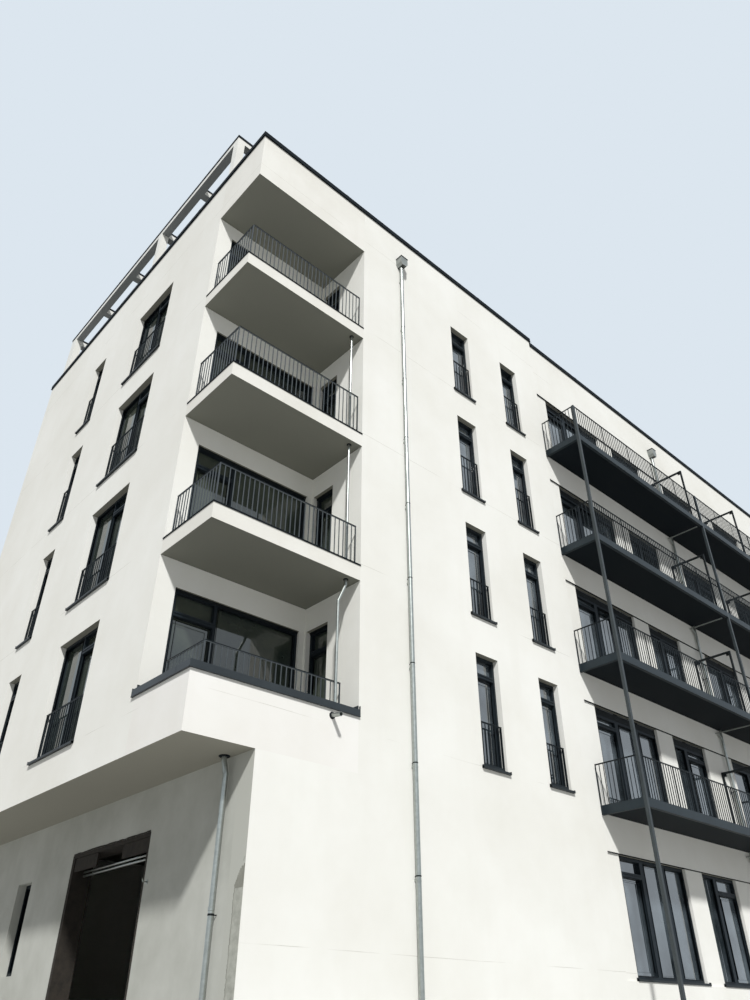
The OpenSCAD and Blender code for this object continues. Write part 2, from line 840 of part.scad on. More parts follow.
// a front and a side panel in each loggia, behind the parapet in the lowest one
module loggia_railings() {
  behind = parapet_railing_inset;
  behind_start = behind + panel_depth + panel_gap;
  inset = loggia_railing_inset;
  side_start = inset + panel_depth + panel_gap;
  color("slategray") placed() {
    front_plate(behind, panel_depth) railing_outline(
      behind, loggia_width - parapet_railing_end_gap - behind, first_floor_level, parapet_railing_height, 0
    );
    side_plate(behind, panel_depth) railing_outline(
      behind_start, loggia_depth - parapet_railing_end_gap - behind_start,
      first_floor_level, parapet_railing_height, 0
    );
    for (storey = [2 : upper_storeys]) {
      low = floor_level(storey) + edge_sheet_thickness;
      height = loggia_railing_height(storey) - edge_sheet_thickness;
      front_plate(inset, panel_depth)
        railing_outline(inset, loggia_width - loggia_railing_end_gap - inset, low, height, 0);
      side_plate(inset, panel_depth)
        railing_outline(side_start, loggia_depth - loggia_side_end_gap - side_start, low, height, 0);
    }
  }
}

// the low railings inside the window openings of the front and of the side street
module window_railings() {
  color("slategray") placed() for (storey = [1 : upper_storeys]) {
    height = window_railing_top(storey) - french_bottom;
    low = floor_level(storey) + french_bottom;
    for (item = narrow_row) {
      front_plate(french_inset, panel_depth) railing_outline(item[0], item[1], low, height, bottom_rail);
    }
    for (item = side_row) {
      side_plate(french_inset, panel_depth) railing_outline(item[0], item[1], low, height, bottom_rail);
    }
  }
}

module window_sills() {
  color("darkslategray") placed() {
    for (storey = [1 : upper_storeys]) {
      for (item = narrow_row) sill(item[0], item[1], row_sill(storey), sill_run_on, sill_run_on);
      for (item = side_row) mirror([1, -1, 0])
        sill(item[0], item[1], row_sill(storey), side_sill_front_run_on, side_sill_rear_run_on);
    }
    for (item = window_row) translate([0, row_face, 0])
      sill(item[0], item[1], row_sill(0), sill_run_on, sill_run_on);
    for (storey = [0 : upper_storeys]) {
      for (item = rear_row) {
        translate([0, building_depth, 0]) mirror([0, 1, 0])
          sill(item[0], item[1], row_sill(storey), sill_run_on, sill_run_on);
      }
    }
  }
}

// the dark blind boxes in the heads of the balcony section windows
module blind_boxes() {
  color("black") placed() for (storey = [1 : upper_storeys]) {
    for (item = window_row) {
      block(
        [item[0], row_face + blind_box_inset, row_head(storey) - blind_box_height],
        [item[1], blind_box_depth, blind_box_height]
      );
    }
  }
}

module front_window_frames() {
  color("darkslategray") placed() {
    for (storey = [1 : upper_storeys]) {
      transom = floor_level(storey) + narrow_transom_height;
      for (item = narrow_row) {
        front_plate(reveal_depth, frame_depth)
          frame_outline(item, row_sill(storey), corner_window_height, transom, frame_bar);
      }
    }
    for (storey = [0 : upper_storeys]) {
      for (item = window_row) {
        front_plate(row_face + balcony_reveal_depth, frame_depth)
          frame_outline(item, row_sill(storey), row_pane(storey), row_transom(storey), coupled_mullion);
      }
    }
  }
}

module front_window_glass() {
  color("lightsteelblue", 0.5) placed() {
    for (storey = [1 : upper_storeys]) {
      for (item = narrow_row) {
        front_plate(reveal_depth + frame_depth, glass_thickness)
          glass_outline(item, row_sill(storey), corner_window_height);
      }
    }
    for (storey = [0 : upper_storeys]) {
      for (item = window_row) {
        front_plate(row_face + balcony_reveal_depth + frame_depth, glass_thickness)
          glass_outline(item, row_sill(storey), row_pane(storey));
      }
    }
  }
}

// the window frames on the side street, in the loggias and in the recessed wall
module side_window_frames() {
  height = corner_window_height;
  color("darkslategray") placed() {
    for (storey = [1 : upper_storeys]) {
      low = row_sill(storey);
      transom = floor_level(storey) + loggia_transom_height;
      side_transom = floor_level(storey) + side_transom_height;
      for (item = side_row) {
        side_plate(side_reveal_depth, frame_depth)
          frame_outline(item, low, height, side_transom, frame_bar);
      }
      front_plate(loggia_depth + loggia_reveal_depth, frame_depth)
        frame_outline(loggia_wide, low, height, transom, frame_bar);
      side_plate(loggia_width + loggia_slit_reveal, frame_depth)
        frame_outline(loggia_slit, low, height, transom, frame_bar);
    }
    side_plate(recess_depth + slot_reveal, frame_depth)
      frame_outline(ground_slot, slot_sill, slot_height, slot_sill, frame_bar);
  }
}

module side_window_glass() {
  back = side_reveal_depth + frame_depth;
  wide_face = loggia_depth + loggia_reveal_depth + frame_depth;
  slit_face = loggia_width + loggia_slit_reveal + frame_depth;
  height = corner_window_height;
  color("lightsteelblue", 0.5) placed() {
    for (storey = [1 : upper_storeys]) {
      low = row_sill(storey);
      for (item = side_row) side_plate(back, glass_thickness) glass_outline(item, low, height);
      front_plate(wide_face, glass_thickness) glass_outline(loggia_wide, low, height);
      side_plate(slit_face, glass_thickness) glass_outline(loggia_slit, low, height);
    }
    side_plate(recess_depth + slot_reveal + frame_depth, glass_thickness)
      glass_outline(ground_slot, slot_sill, slot_height);
  }
}

module rear_window_frames() {
  face = building_depth - reveal_depth - frame_depth;
  color("darkslategray") placed() for (storey = [0 : upper_storeys]) {
    for (item = rear_row) {
      front_plate(face, frame_depth)
        frame_outline(item, row_sill(storey), window_height, row_transom(storey), frame_bar);
    }
  }
}

module rear_window_glass() {
  face = building_depth - reveal_depth - frame_depth - glass_thickness;
  color("lightsteelblue", 0.5) placed() for (storey = [0 : upper_storeys]) {
    for (item = rear_row) {
      front_plate(face, glass_thickness) glass_outline(item, row_sill(storey), window_height);
    }
  }
}

// the plan of the steel posts, which stand flush in the edge channels
module post_plan() {
  for (place = post_places) area(place - post_width / 2, balcony_front, post_width, post_width);
}

// the plan of a balcony inside its edge channel
module deck_plan() {
  inner = channel_thickness;
  area(
    balcony_left + inner, balcony_front + inner,
    balcony_right - balcony_left - 2 * inner, band_face - balcony_front - inner
  );
}

module balcony_decks() {
  color("black") placed() for (storey = [1 : upper_storeys]) {
    translate([0, 0, deck_top(storey) - deck_thickness]) linear_extrude(deck_thickness) difference() {
      deck_plan();
      post_plan();
    }
  }
}

// the steel channel round the three free sides of a balcony, in lengths between the posts
module balcony_channels() {
  color("slategray") placed() for (storey = [1 : upper_storeys]) {
    translate([0, 0, channel_top(storey) - channel_height]) linear_extrude(channel_height) difference() {
      area(balcony_left, balcony_front, balcony_right - balcony_left, band_face - balcony_front);
      deck_plan();
      post_plan();
    }
  }
}

module balcony_posts() {
  color("slategray") placed() linear_extrude(channel_top(upper_storeys) + post_rise) post_plan();
}

// front panels between the posts and a panel at each end
module balcony_railings() {
  clear = post_width / 2 + panel_gap;
  front = balcony_front + panel_gap;
  side_start = balcony_front + post_width + panel_gap;
  color("slategray") placed() for (storey = [1 : upper_storeys]) {
    low = channel_top(storey);
    height = balcony_railing_height(storey);
    for (i = [0 : len(post_places) - 2]) {
      start = post_places[i] + clear;
      length = post_places[i + 1] - post_places[i] - 2 * clear;
      front_plate(front, panel_depth) railing_outline(start, length, low, height, 0);
    }
    for (face = [balcony_left + panel_gap, balcony_right - panel_gap - panel_depth]) {
      side_plate(face, panel_depth)
        railing_outline(side_start, band_face - panel_gap - side_start, low, height, 0);
    }
  }
}

// the open frames that part the balconies
module privacy_frames() {
  front = balcony_front + 2 * panel_gap + panel_depth;
  rear = row_face - privacy_wall_gap;
  color("dimgray") placed() for (storey = [1 : upper_storeys]) {
    front_low = channel_top(storey);
    rear_low = max(floor_level(storey), deck_top(storey));
    high = channel_top(storey) + privacy_height;
    for (place = privacy_places) side_plate(place - privacy_bar / 2, privacy_bar) {
      area(front, front_low, privacy_bar, high - front_low);
      area(rear - privacy_bar, rear_low, privacy_bar, high - rear_low);
      area(front, high - privacy_bar, rear - front, privacy_bar);
    }
  }
}

// a hopper seen from the front, its neck over the middle of the pipe
module hopper_outline(middle, top) {
  half = hopper_width / 2;
  neck = hopper_neck / 2;
  polygon([
    [middle - half, top], [middle - half, top - hopper_height + hopper_taper],
    [middle - neck, top - hopper_height], [middle + neck, top - hopper_height],
    [middle + half, top - hopper_height + hopper_taper], [middle + half, top]
  ]);
}

module rain_hoppers() {
  color("silver") placed() {
    front_plate(-hopper_depth, hopper_depth) hopper_outline(corner_pipe_x, coping_top - corner_hopper_drop);
    front_plate(band_face - hopper_depth, hopper_depth)
      hopper_outline(corner_block_length + balcony_pipe_start, coping_top - balcony_hopper_drop);
  }
}

// an upright pipe between two heights
module upright_pipe(x, y, low, high, radius) {
  translate([x, y, low]) cylinder(h = high - low, r = radius);
}

// two upright lengths of pipe and a slanting one between them, open at the joints
module bent_pipe(top, bottom, ceiling, foot, radius) {
  run = bottom - top;
  length = norm(run);
  joint = radius * norm([run[0], run[1]]) / abs(run[2]) + bend_joint;
  upright_pipe(top[0], top[1], top[2], ceiling, radius);
  translate(top + run * joint / length)
    rotate([0, acos(run[2] / length), atan2(run[1], run[0])]) cylinder(h = length - 2 * joint, r = radius);
  upright_pipe(bottom[0], bottom[1], foot, bottom[2], radius);
}

// the downpipes of the corner block, of the balcony section, in lengths between the decks, and of the
// recessed wall, from the overhang down
module downpipes() {
  corner_high = coping_top - corner_hopper_drop - hopper_height;
  balcony_high = coping_top - balcony_hopper_drop - hopper_height;
  balcony_x = corner_block_length + balcony_pipe_start;
  balcony_y = band_face - balcony_pipe_offset;
  recess_x = recess_depth - recess_pipe_offset;
  bend_top = overhang_soffit - recess_pipe_neck;
  color("silver") placed() {
    upright_pipe(corner_pipe_x, -corner_pipe_offset, pipe_foot_gap, corner_high, corner_pipe_radius);
    for (storey = [0 : upper_storeys]) {
      low = storey == 0 ? pipe_foot_gap : deck_top(storey) + pipe_deck_gap;
      high = storey == upper_storeys ? balcony_high : deck_top(storey + 1) - deck_thickness - pipe_deck_gap;
      upright_pipe(balcony_x, balcony_y, low, high, balcony_pipe_radius);
    }
    bent_pipe(
      [recess_x - pipe_step_x, recess_pipe_start + pipe_step_y, bend_top],
      [recess_x, recess_pipe_start, bend_top - recess_pipe_bend],
      overhang_soffit, pipe_foot_gap, recess_pipe_radius
    );
  }
}

module pipe_brackets() {
  high = coping_top - corner_hopper_drop - hopper_height - bracket_height;
  count = floor((high - first_bracket) / bracket_pitch) + 1;
  color("silver") placed() for (i = [0 : count - 1]) {
    block(
      [
        corner_pipe_x - bracket_width / 2, corner_pipe_radius - corner_pipe_offset,
        first_bracket + i * bracket_pitch
      ],
      [bracket_width, corner_pipe_offset - corner_pipe_radius, bracket_height]
    );
  }
}

// the drain under each balcony, from its outer edge to the wall
module balcony_drains() {
  color("silver") placed() for (storey = [1 : upper_storeys]) {
    translate([
      corner_block_length + privacy_start + drain_offset, band_face,
      channel_top(storey) - channel_height - drain_drop
    ]) rotate([90, 0, 0]) cylinder(h = band_face - balcony_front - drain_end_gap, r = drain_radius);
  }
}

// the thin pipes of the three lower loggias, the lowest one with a bend
module loggia_drain_pipes() {
  x = loggia_width - thin_pipe_end_gap;
  ceiling = floor_level(2) - floor_thickness;
  bend_top = ceiling - thin_pipe_neck;
  color("silver") placed() {
    bent_pipe(
      [x, thin_pipe_inset, bend_top], [x - thin_pipe_step, thin_pipe_inset, bend_top - thin_pipe_bend],
      ceiling, parapet_top + parapet_cap_height, thin_pipe_radius
    );
    for (storey = [2 : upper_storeys - 1]) {
      low = floor_level(storey);
      upright_pipe(x, thin_pipe_inset, low, low + storey_height - floor_thickness, thin_pipe_radius);
    }
  }
}

// the overflow spout, a falling tube in front of its rosette
module overflow_spout() {
  height = first_floor_level + spout_rise;
  lean = atan(spout_fall / spout_reach);
  start = rosette_thickness + spout_radius * tan(lean) + bend_joint;
  color("silver") placed() {
    translate([spout_x, 0, height]) rotate([90, 0, 0]) cylinder(h = rosette_thickness, r = rosette_radius);
    translate([spout_x, -start, height]) rotate([90 + lean, 0, 0]) difference() {
      cylinder(h = spout_reach, r = spout_radius);
      translate([0, 0, -cut_margin])
        cylinder(h = spout_reach + 2 * cut_margin, r = spout_radius - spout_sheet);
    }
  }
}

// the rough lining of the gateway: two sides and the head, with open seams
module gate_lining() {
  side_height = gate_height - lining_thickness - lining_seam;
  board_low_end = gate_start + lining_thickness + lining_seam;
  board_high_end = gate_start + gate_width - lining_thickness - lining_seam - lining_board_width;
  color("saddlebrown") placed() side_plate(recess_depth, wall_thickness) {
    area(gate_start, 0, lining_thickness, side_height);
    area(gate_start + gate_width - lining_thickness, 0, lining_thickness, side_height);
    area(gate_start, gate_height - lining_thickness, gate_width, lining_thickness);
  }
  color("saddlebrown") placed() side_plate(recess_depth + lining_board_inset, lining_board_thickness) {
    for (start = [board_low_end, board_high_end]) {
      area(start, lining_board_low, lining_board_width, side_height - lining_board_low);
    }
  }
}

module gate_rails() {
  length = gate_width - 2 * lining_thickness;
  color("silver") placed() for (i = [0, 1]) {
    translate([
      recess_depth + gate_rail_inset, gate_start + lining_thickness, gate_rail_height + i * gate_rail_spacing
    ]) rotate([-90, 0, 0]) cylinder(h = length, r = gate_rail_radius);
  }
}

floor_slabs();
overhang_slab();
roof_slab();
ground_walls();
recess_wall();
corner_block_wall();
balcony_section_wall();
spandrel_bands();
side_wall();
rear_wall();
party_wall();
loggia_back_wall();
loggia_side_wall();
loggia_slabs();
loggia_edge_sheets();
loggia_parapet();
parapet_cap();
corner_fascia();
roof_coping();
pergola_posts();
pergola_long_beams();
pergola_cross_beams();
pergola_coping();
loggia_railings();
window_railings();
window_sills();
blind_boxes();
front_window_frames();
front_window_glass();
side_window_frames();
side_window_glass();
rear_window_frames();
rear_window_glass();
balcony_decks();
balcony_channels();
balcony_posts();
balcony_railings();
privacy_frames();
rain_hoppers();
downpipes();
pipe_brackets();
balcony_drains();
loggia_drain_pipes();
overflow_spout();
gate_lining();
gate_rails();
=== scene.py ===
"""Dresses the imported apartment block: finishes on its CAD nodes and the fine pieces round them.

Lengths are millimetres in the building's own frame, from its near corner on the ground: x along
the street front, y towards the rear, z up. site() turns them into metres in the shared frame.
"""

import logging
import math
import random
from dataclasses import dataclass
from enum import Enum
from typing import Any, Iterable, Mapping, Optional, Sequence

import bmesh
import bpy
from mathutils import Euler, Matrix, Vector


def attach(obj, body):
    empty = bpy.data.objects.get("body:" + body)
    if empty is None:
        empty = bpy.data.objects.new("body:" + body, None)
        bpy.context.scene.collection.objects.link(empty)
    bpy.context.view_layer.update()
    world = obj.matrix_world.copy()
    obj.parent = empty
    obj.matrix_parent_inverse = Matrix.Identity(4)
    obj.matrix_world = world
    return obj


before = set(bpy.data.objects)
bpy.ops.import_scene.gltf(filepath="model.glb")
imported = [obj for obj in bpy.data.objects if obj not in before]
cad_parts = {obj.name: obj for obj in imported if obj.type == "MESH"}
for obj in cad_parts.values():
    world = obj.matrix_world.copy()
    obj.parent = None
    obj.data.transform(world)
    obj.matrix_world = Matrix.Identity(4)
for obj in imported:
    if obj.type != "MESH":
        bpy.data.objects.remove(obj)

Graph = bpy.types.NodeTree
Socket = bpy.types.NodeSocket
Span = tuple[float, float]

LOG = logging.getLogger("apartment_block")
BODY = "root"
MM_PER_M = 1000.0
UP = Vector((0.0, 0.0, 1.0))

# the middle of the building's box, from its near corner
MIDDLE_X = 14965.0
MIDDLE_Y = 5507.5


def site(x: float, y: float, z: float) -> Vector:
    """Turns a place in the building's own frame into the shared frame.

    Args:
        x: distance along the street front.
        y: distance from the street front towards the rear.
        z: height above the ground.

    Returns:
        The place in metres in the shared frame.
    """
    return Vector(((x - MIDDLE_X) / MM_PER_M, (y - MIDDLE_Y) / MM_PER_M, z / MM_PER_M))


def linear(code: str) -> tuple[float, float, float, float]:
    """Turns an sRGB hex colour into the linear colour that a shader socket takes.

    Args:
        code: six hex digits.

    Returns:
        Linear red, green, blue and an alpha of 1.
    """
    values = []
    for start in (0, 2, 4):
        part = int(code[start:start + 2], 16) / 255.0
        values.append(part / 12.92 if part <= 0.04045 else ((part + 0.055) / 1.055) ** 2.4)
    return (values[0], values[1], values[2], 1.0)


def add_node(
    graph: Graph, kind: str, inputs: Optional[Mapping[Any, Any]] = None, **settings: Any
) -> bpy.types.Node:
    """Adds a shader node with its settings, values and links.

    Args:
        graph: the node graph.
        kind: the node's type without its ShaderNode prefix.
        inputs: a value or an output socket for each named or numbered input.
        **settings: the node's own properties.

    Returns:
        The new node.
    """
    node = graph.nodes.new("ShaderNode" + kind)
    for name, value in settings.items():
        setattr(node, name, value)
    for key, value in (inputs or {}).items():
        if isinstance(value, Socket):
            graph.links.new(value, node.inputs[key])
        else:
            node.inputs[key].default_value = value
    return node


# finishes, whose mottle, grain and relief are sizes on the real surface

@dataclass(frozen=True)
class Finish:
    """A plain finish with a soft mottle, a fine grain and a little relief."""

    name: str
    slot: str
    base: str
    tint: str
    roughness: float = 0.6
    metallic: float = 0.0
    mottle: float = 900.0
    grain: float = 30.0
    relief: float = 0.4
    ior: float = 1.5
    coat: float = 0.0
    # for the renders, floors, roof, pergola paint and hoppers this darker colour of what faces down
    # is painted shade
    underside: str = ""

    # the tint begins and is full at these values of the mottle's noise
    MOTTLE_START = 0.35
    MOTTLE_FULL = 0.68
    BUMP_STRENGTH = 0.6
    # a face looks against an axis where that part of its normal is below this
    AGAINST = -0.5

    def colour(self, graph: Graph, place: Socket) -> Socket:
        """Mixes the base colour and the tint by a soft mottle.

        Args:
            graph: the material's node graph.
            place: the Object coordinates.

        Returns:
            The colour socket.
        """
        mottle = add_node(
            graph, "TexNoise",
            {"Vector": place, "Scale": MM_PER_M / self.mottle, "Detail": 5.0, "Roughness": 0.6},
        )
        share = add_node(
            graph, "MapRange",
            {
                "Value": mottle.outputs["Fac"], "From Min": self.MOTTLE_START,
                "From Max": self.MOTTLE_FULL,
            },
        )
        mixed = add_node(
            graph, "Mix", {0: share.outputs["Result"], 6: linear(self.base), 7: linear(self.tint)},
            data_type="RGBA",
        )
        return mixed.outputs[2]

    def soffit(self, graph: Graph, place: Socket) -> Any:
        """Gives the colour of what faces down, which may depend on the place."""
        return linear(self.underside)

    def repainted(self, graph: Graph, axis: str, top: Socket, paint: Any) -> Socket:
        """Paints what faces against an axis in another colour.

        Args:
            graph: the material's node graph.
            axis: the axis's letter.
            top: the colour everywhere else.
            paint: the other colour, plain or as a socket.

        Returns:
            The colour socket.
        """
        normal = add_node(graph, "NewGeometry").outputs["Normal"]
        part = add_node(graph, "SeparateXYZ", {"Vector": normal}).outputs[axis]
        against = add_node(graph, "Math", {0: part, 1: self.AGAINST}, operation="LESS_THAN")
        mixed = add_node(graph, "Mix", {0: against.outputs[0], 6: top, 7: paint}, data_type="RGBA")
        return mixed.outputs[2]

    def painted(self, graph: Graph, place: Socket, top: Socket) -> Socket:
        """Paints what faces down in the underside's colour, where it has one: painted shade on most
        finishes.
        """
        return self.repainted(graph, "Z", top, self.soffit(graph, place)) if self.underside else top

    def normal(self, graph: Graph, place: Socket) -> Socket:
        """Turns a fine grain into a bump.

        Args:
            graph: the material's node graph.
            place: the Object coordinates.

        Returns:
            The normal socket.
        """
        grain = add_node(
            graph, "TexNoise", {"Vector": place, "Scale": MM_PER_M / self.grain, "Detail": 3.0}
        )
        bump = add_node(
            graph, "Bump",
            {
                "Height": grain.outputs["Fac"], "Distance": self.relief / MM_PER_M,
                "Strength": self.BUMP_STRENGTH,
            },
        )
        return bump.outputs["Normal"]

    def material(self) -> bpy.types.Material:
        """Makes the material once and gives the same one back after that.

        Returns:
            The material.
        """
        known = bpy.data.materials.get(self.name)
        if known is not None:
            return known
        made = bpy.data.materials.new(self.name)
        made.use_nodes = True
        graph = made.node_tree
        graph.nodes.clear()
        place = add_node(graph, "TexCoord").outputs["Object"]
        surface = add_node(
            graph, "BsdfPrincipled",
            {
                "Base Color": self.painted(graph, place, self.colour(graph, place)),
                "Roughness": self.roughness,
                "Metallic": self.metallic,
                "IOR": self.ior,
                "Coat Weight": self.coat,
                "Normal": self.normal(graph, place),
            },
        )
        add_node(graph, "OutputMaterial", {"Surface": surface.outputs["BSDF"]})
        return made


@dataclass(frozen=True)
class Plaster(Finish):
    """Floated mineral render: matt, nearly white, with faint lift lines where a day's work ended.

    The lift lines repeat at each storey, and rain leaves very faint runs. What faces down has
    painted shade, and below the overhang's limit the overhang's paler painted shade.
    """

    line_colour: str = "B9B7AD"
    line_first: float = 4451.0
    line_pitch: float = 3100.0
    line_width: float = 9.0
    # painted shade for what faces down below the limit, paler than the underside's
    overhang: str = "9A988D"
    overhang_limit: float = 5000.0

    RUN_STRETCH = (1.6, 1.6, 0.12)
    RUN_STRENGTH = 0.35
    LINE_WAVER_M = 0.03
    LINE_STRENGTH = 0.55

    def soffit(self, graph: Graph, place: Socket) -> Any:
        """Gives the underside's painted shade, and below the limit the overhang's paler painted
        shade.

        Args:
            graph: the material's node graph.
            place: the Object coordinates.

        Returns:
            The colour socket.
        """
        height = add_node(graph, "SeparateXYZ", {"Vector": place}).outputs["Z"]
        limit = self.overhang_limit / MM_PER_M
        low = add_node(graph, "Math", {0: height, 1: limit}, operation="LESS_THAN")
        mixed = add_node(
            graph, "Mix", {0: low.outputs[0], 6: linear(self.underside), 7: linear(self.overhang)},
            data_type="RGBA",
        )
        return mixed.outputs[2]

    def washed(self, graph: Graph, place: Socket, mottled: Socket) -> Socket:
        """Lays the runs of rain over the mottled render.

        Args:
            graph: the material's node graph.
            place: the Object coordinates.
            mottled: the render's colour.

        Returns:
            The colour socket.
        """
        stretched = add_node(graph, "Mapping", {"Vector": place, "Scale": self.RUN_STRETCH})
        runs = add_node(
            graph, "TexNoise", {"Vector": stretched.outputs["Vector"], "Scale": 2.0, "Detail": 6.0}
        )
        share = add_node(
            graph, "MapRange",
            {
                "Value": runs.outputs["Fac"], "From Min": 0.5, "From Max": 0.8,
                "To Max": self.RUN_STRENGTH,
            },
        )
        mixed = add_node(
            graph, "Mix", {0: share.outputs["Result"], 6: mottled, 7: linear(self.tint)},
            data_type="RGBA",
        )
        return mixed.outputs[2]

    def colour(self, graph: Graph, place: Socket) -> Socket:
        """Lays runs and wavering, broken lift lines over the mottled render.

        Args:
            graph: the material's node graph.
            place: the Object coordinates.

        Returns:
            The colour socket.
        """
        washed = self.washed(graph, place, super().colour(graph, place))
        height = add_node(graph, "SeparateXYZ", {"Vector": place}).outputs["Z"]
        waver = add_node(graph, "TexNoise", {"Vector": place, "Scale": 0.9, "Detail": 2.0})
        level = add_node(
            graph, "Math", {0: waver.outputs["Fac"], 1: self.LINE_WAVER_M, 2: height},
            operation="MULTIPLY_ADD",
        )
        first = self.line_first / MM_PER_M
        wrapped = add_node(
            graph, "Math",
            {0: level.outputs[0], 1: first + self.line_pitch / MM_PER_M, 2: first},
            operation="WRAP",
        )
        near = add_node(
            graph, "Math", {0: wrapped.outputs[0], 1: first, 2: self.line_width / MM_PER_M},
            operation="COMPARE",
        )
        broken = add_node(graph, "TexNoise", {"Vector": place, "Scale": 0.7, "Detail": 3.0})
        present = add_node(
            graph, "MapRange",
            {
                "Value": broken.outputs["Fac"], "From Min": 0.45, "From Max": 0.55,
                "To Max": self.LINE_STRENGTH,
            },
        )
        line = add_node(
            graph, "Math", {0: near.outputs[0], 1: present.outputs["Result"]}, operation="MULTIPLY"
        )
        lined = add_node(
            graph, "Mix", {0: line.outputs[0], 6: washed, 7: linear(self.line_colour)},
            data_type="RGBA",
        )
        return lined.outputs[2]


@dataclass(frozen=True)
class PierRender(Plaster):
    """The render of the ground storey's front, whose return on the recess is only base coat."""

    base_coat: str = "B9BBB4"

    def painted(self, graph: Graph, place: Socket, top: Socket) -> Socket:
        """Leaves what faces the side street in the grey base coat."""
        front = super().painted(graph, place, top)
        return self.repainted(graph, "X", front, linear(self.base_coat))


@dataclass(frozen=True)
class Glass(Finish):
    """Double glazing in front of dim rooms: mirror-smooth, paler in some panes."""

    WAVE_DEPTH_M = 0.01
    WAVE_STRENGTH = 0.35

    def normal(self, graph: Graph, place: Socket) -> Socket:
        """Bends the panes very slightly, as toughened glass is.

        Args:
            graph: the material's node graph.
            place: the Object coordinates.

        Returns:
            The normal socket.
        """
        wave = add_node(graph, "TexNoise", {"Vector": place, "Scale": 1.1, "Detail": 0.0})
        bump = add_node(
            graph, "Bump",
            {
                "Height": wave.outputs["Fac"], "Distance": self.WAVE_DEPTH_M,
                "Strength": self.WAVE_STRENGTH,
            },
        )
        return bump.outputs["Normal"]


# fine-floated lime-cement render, painted broken white: matt, creamier where it weathers
# what faces down is a darker grey, painted shade
PLASTER = Plaster(
    "floated_render_cream", "plaster", "F4F5F1", "EBEBE5",
    roughness=0.92, mottle=2600.0, grain=24.0, relief=1.0, underside="8A897F",
)
# the same render inside the loggias, whose ceilings are darkened to a stone grey as painted shade
LOGGIA_RENDER = Plaster(
    "loggia_render_shade_painted_under", "soffit_render", "F0F0EB", "E4E3DC",
    roughness=0.92, mottle=1800.0, grain=24.0, relief=1.0, underside="7A7B72",
)
# the render of the ground storey's front
# what faces down is the same darker grey, painted shade
PIER_RENDER = PierRender(
    "floated_render_over_base_coat", "plaster", "F4F5F1", "EBEBE5",
    roughness=0.92, mottle=2600.0, grain=24.0, relief=1.0, underside="8A897F",
)
# white silicate paint on the parapet: the cleanest and coolest of the whites
# what faces down is stone grey, painted shade like the loggia ceilings
WHITE_RENDER = Plaster(
    "silicate_paint_white", "white_render", "F5F5F2", "EDECE7",
    roughness=0.9, mottle=2200.0, grain=24.0, relief=0.8, underside="7A7B72",
)
# the render of the recessed wall, duller and blotched by patching
GROUND_RENDER = Plaster(
    "ground_render_patched", "ground_plaster", "C2C4BE", "B0B2AB",
    roughness=0.94, mottle=1100.0, grain=22.0, relief=1.4,
)
# bare cement mortar where the render has come away: rough, mid grey
MORTAR = Finish(
    "bare_cement_mortar", "ground_plaster", "94958C", "7F8078",
    roughness=0.97, mottle=160.0, grain=14.0, relief=3.0,
)
# the same mortar below, scraped and washed out: paler
SCRAPED_MORTAR = Finish(
    "scraped_cement_mortar", "ground_plaster", "B4B6AE", "9C9E96",
    roughness=0.97, mottle=90.0, grain=14.0, relief=2.0,
)
# cast concrete floors: plain grey, with clouding
# what faces down is stone grey, painted shade like the loggia ceilings
CONCRETE = Finish(
    "cast_concrete_floor", "concrete_floors", "A9A79F", "94928B",
    roughness=0.85, mottle=1400.0, grain=18.0, relief=0.8, underside="7A7B72",
)
# bitumen roofing with a mineral top: gritty mid grey, over a soffit in the loggias' painted shade
MEMBRANE = Finish(
    "mineral_bitumen_membrane", "roof_membrane", "83857F", "6F716C",
    roughness=0.93, grain=9.0, relief=0.8, underside="7A7B72",
)
# folded aluminium sheet, coil-coated anthracite: smooth, satin, a little dusty
DARK_SHEET = Finish(
    "coil_coated_aluminium_anthracite", "dark_sheet", "2C3236", "353C40",
    roughness=0.42, mottle=700.0, grain=60.0, relief=0.25, ior=1.35, coat=0.1,
)
# the folded sills: the same sheet, darker
SILL_SHEET = Finish(
    "coil_coated_aluminium_sill", "dark_sheet", "23282B", "2C3235",
    roughness=0.45, mottle=600.0, grain=60.0, relief=0.25, ior=1.3,
)
# the copings and edge sheets: the same sheet in near black, and dull
BLACK_SHEET = Finish(
    "coil_coated_aluminium_black", "dark_sheet", "12171B", "1B2227",
    mottle=500.0, grain=60.0, relief=0.25, ior=1.15,
)
# powder-coated galvanised steel of the edge channels, grey-blue, with a faint orange peel
PAINTED_STEEL = Finish(
    "powder_coated_steel_grey_blue", "painted_steel", "242E34", "1F282D",
    roughness=0.45, mottle=450.0, grain=12.0, relief=0.25, ior=1.35,
)
# the square posts: the same coat, worn paler
POST_STEEL = Finish(
    "powder_coated_steel_worn_grey", "painted_steel", "383F42", "2F3639",
    roughness=0.38, mottle=500.0, grain=12.0, relief=0.2, ior=1.4,
)
# handrails and railing bars: powder coat in slate grey
RAIL_STEEL = Finish(
    "powder_coated_steel_slate", "painted_steel", "141B1F", "1C2429",
    roughness=0.45, mottle=400.0, grain=12.0, relief=0.2, ior=1.3,
)
# the bars under the loggias' handrails: the same coat, chalked to a mid grey
BAR_STEEL = Finish(
    "powder_coated_steel_chalked", "painted_steel", "4A5155", "3E454A",
    roughness=0.55, mottle=400.0, grain=12.0, relief=0.2,
)
# the privacy frames and blind boxes: powder coat, darker
DARK_STEEL = Finish(
    "powder_coated_steel_anthracite", "dark_steel", "15191B", "1D2224",
    roughness=0.5, mottle=400.0, grain=12.0, relief=0.25, ior=1.25,
)
# painted steel decking: walked dull and grey on top, near black and faintly blue below
DECK_PLATE = Finish(
    "painted_steel_decking", "deck_plate", "52575A", "43484B",
    roughness=0.66, mottle=1500.0, grain=90.0, relief=0.3, underside="08131A", ior=1.25,
)
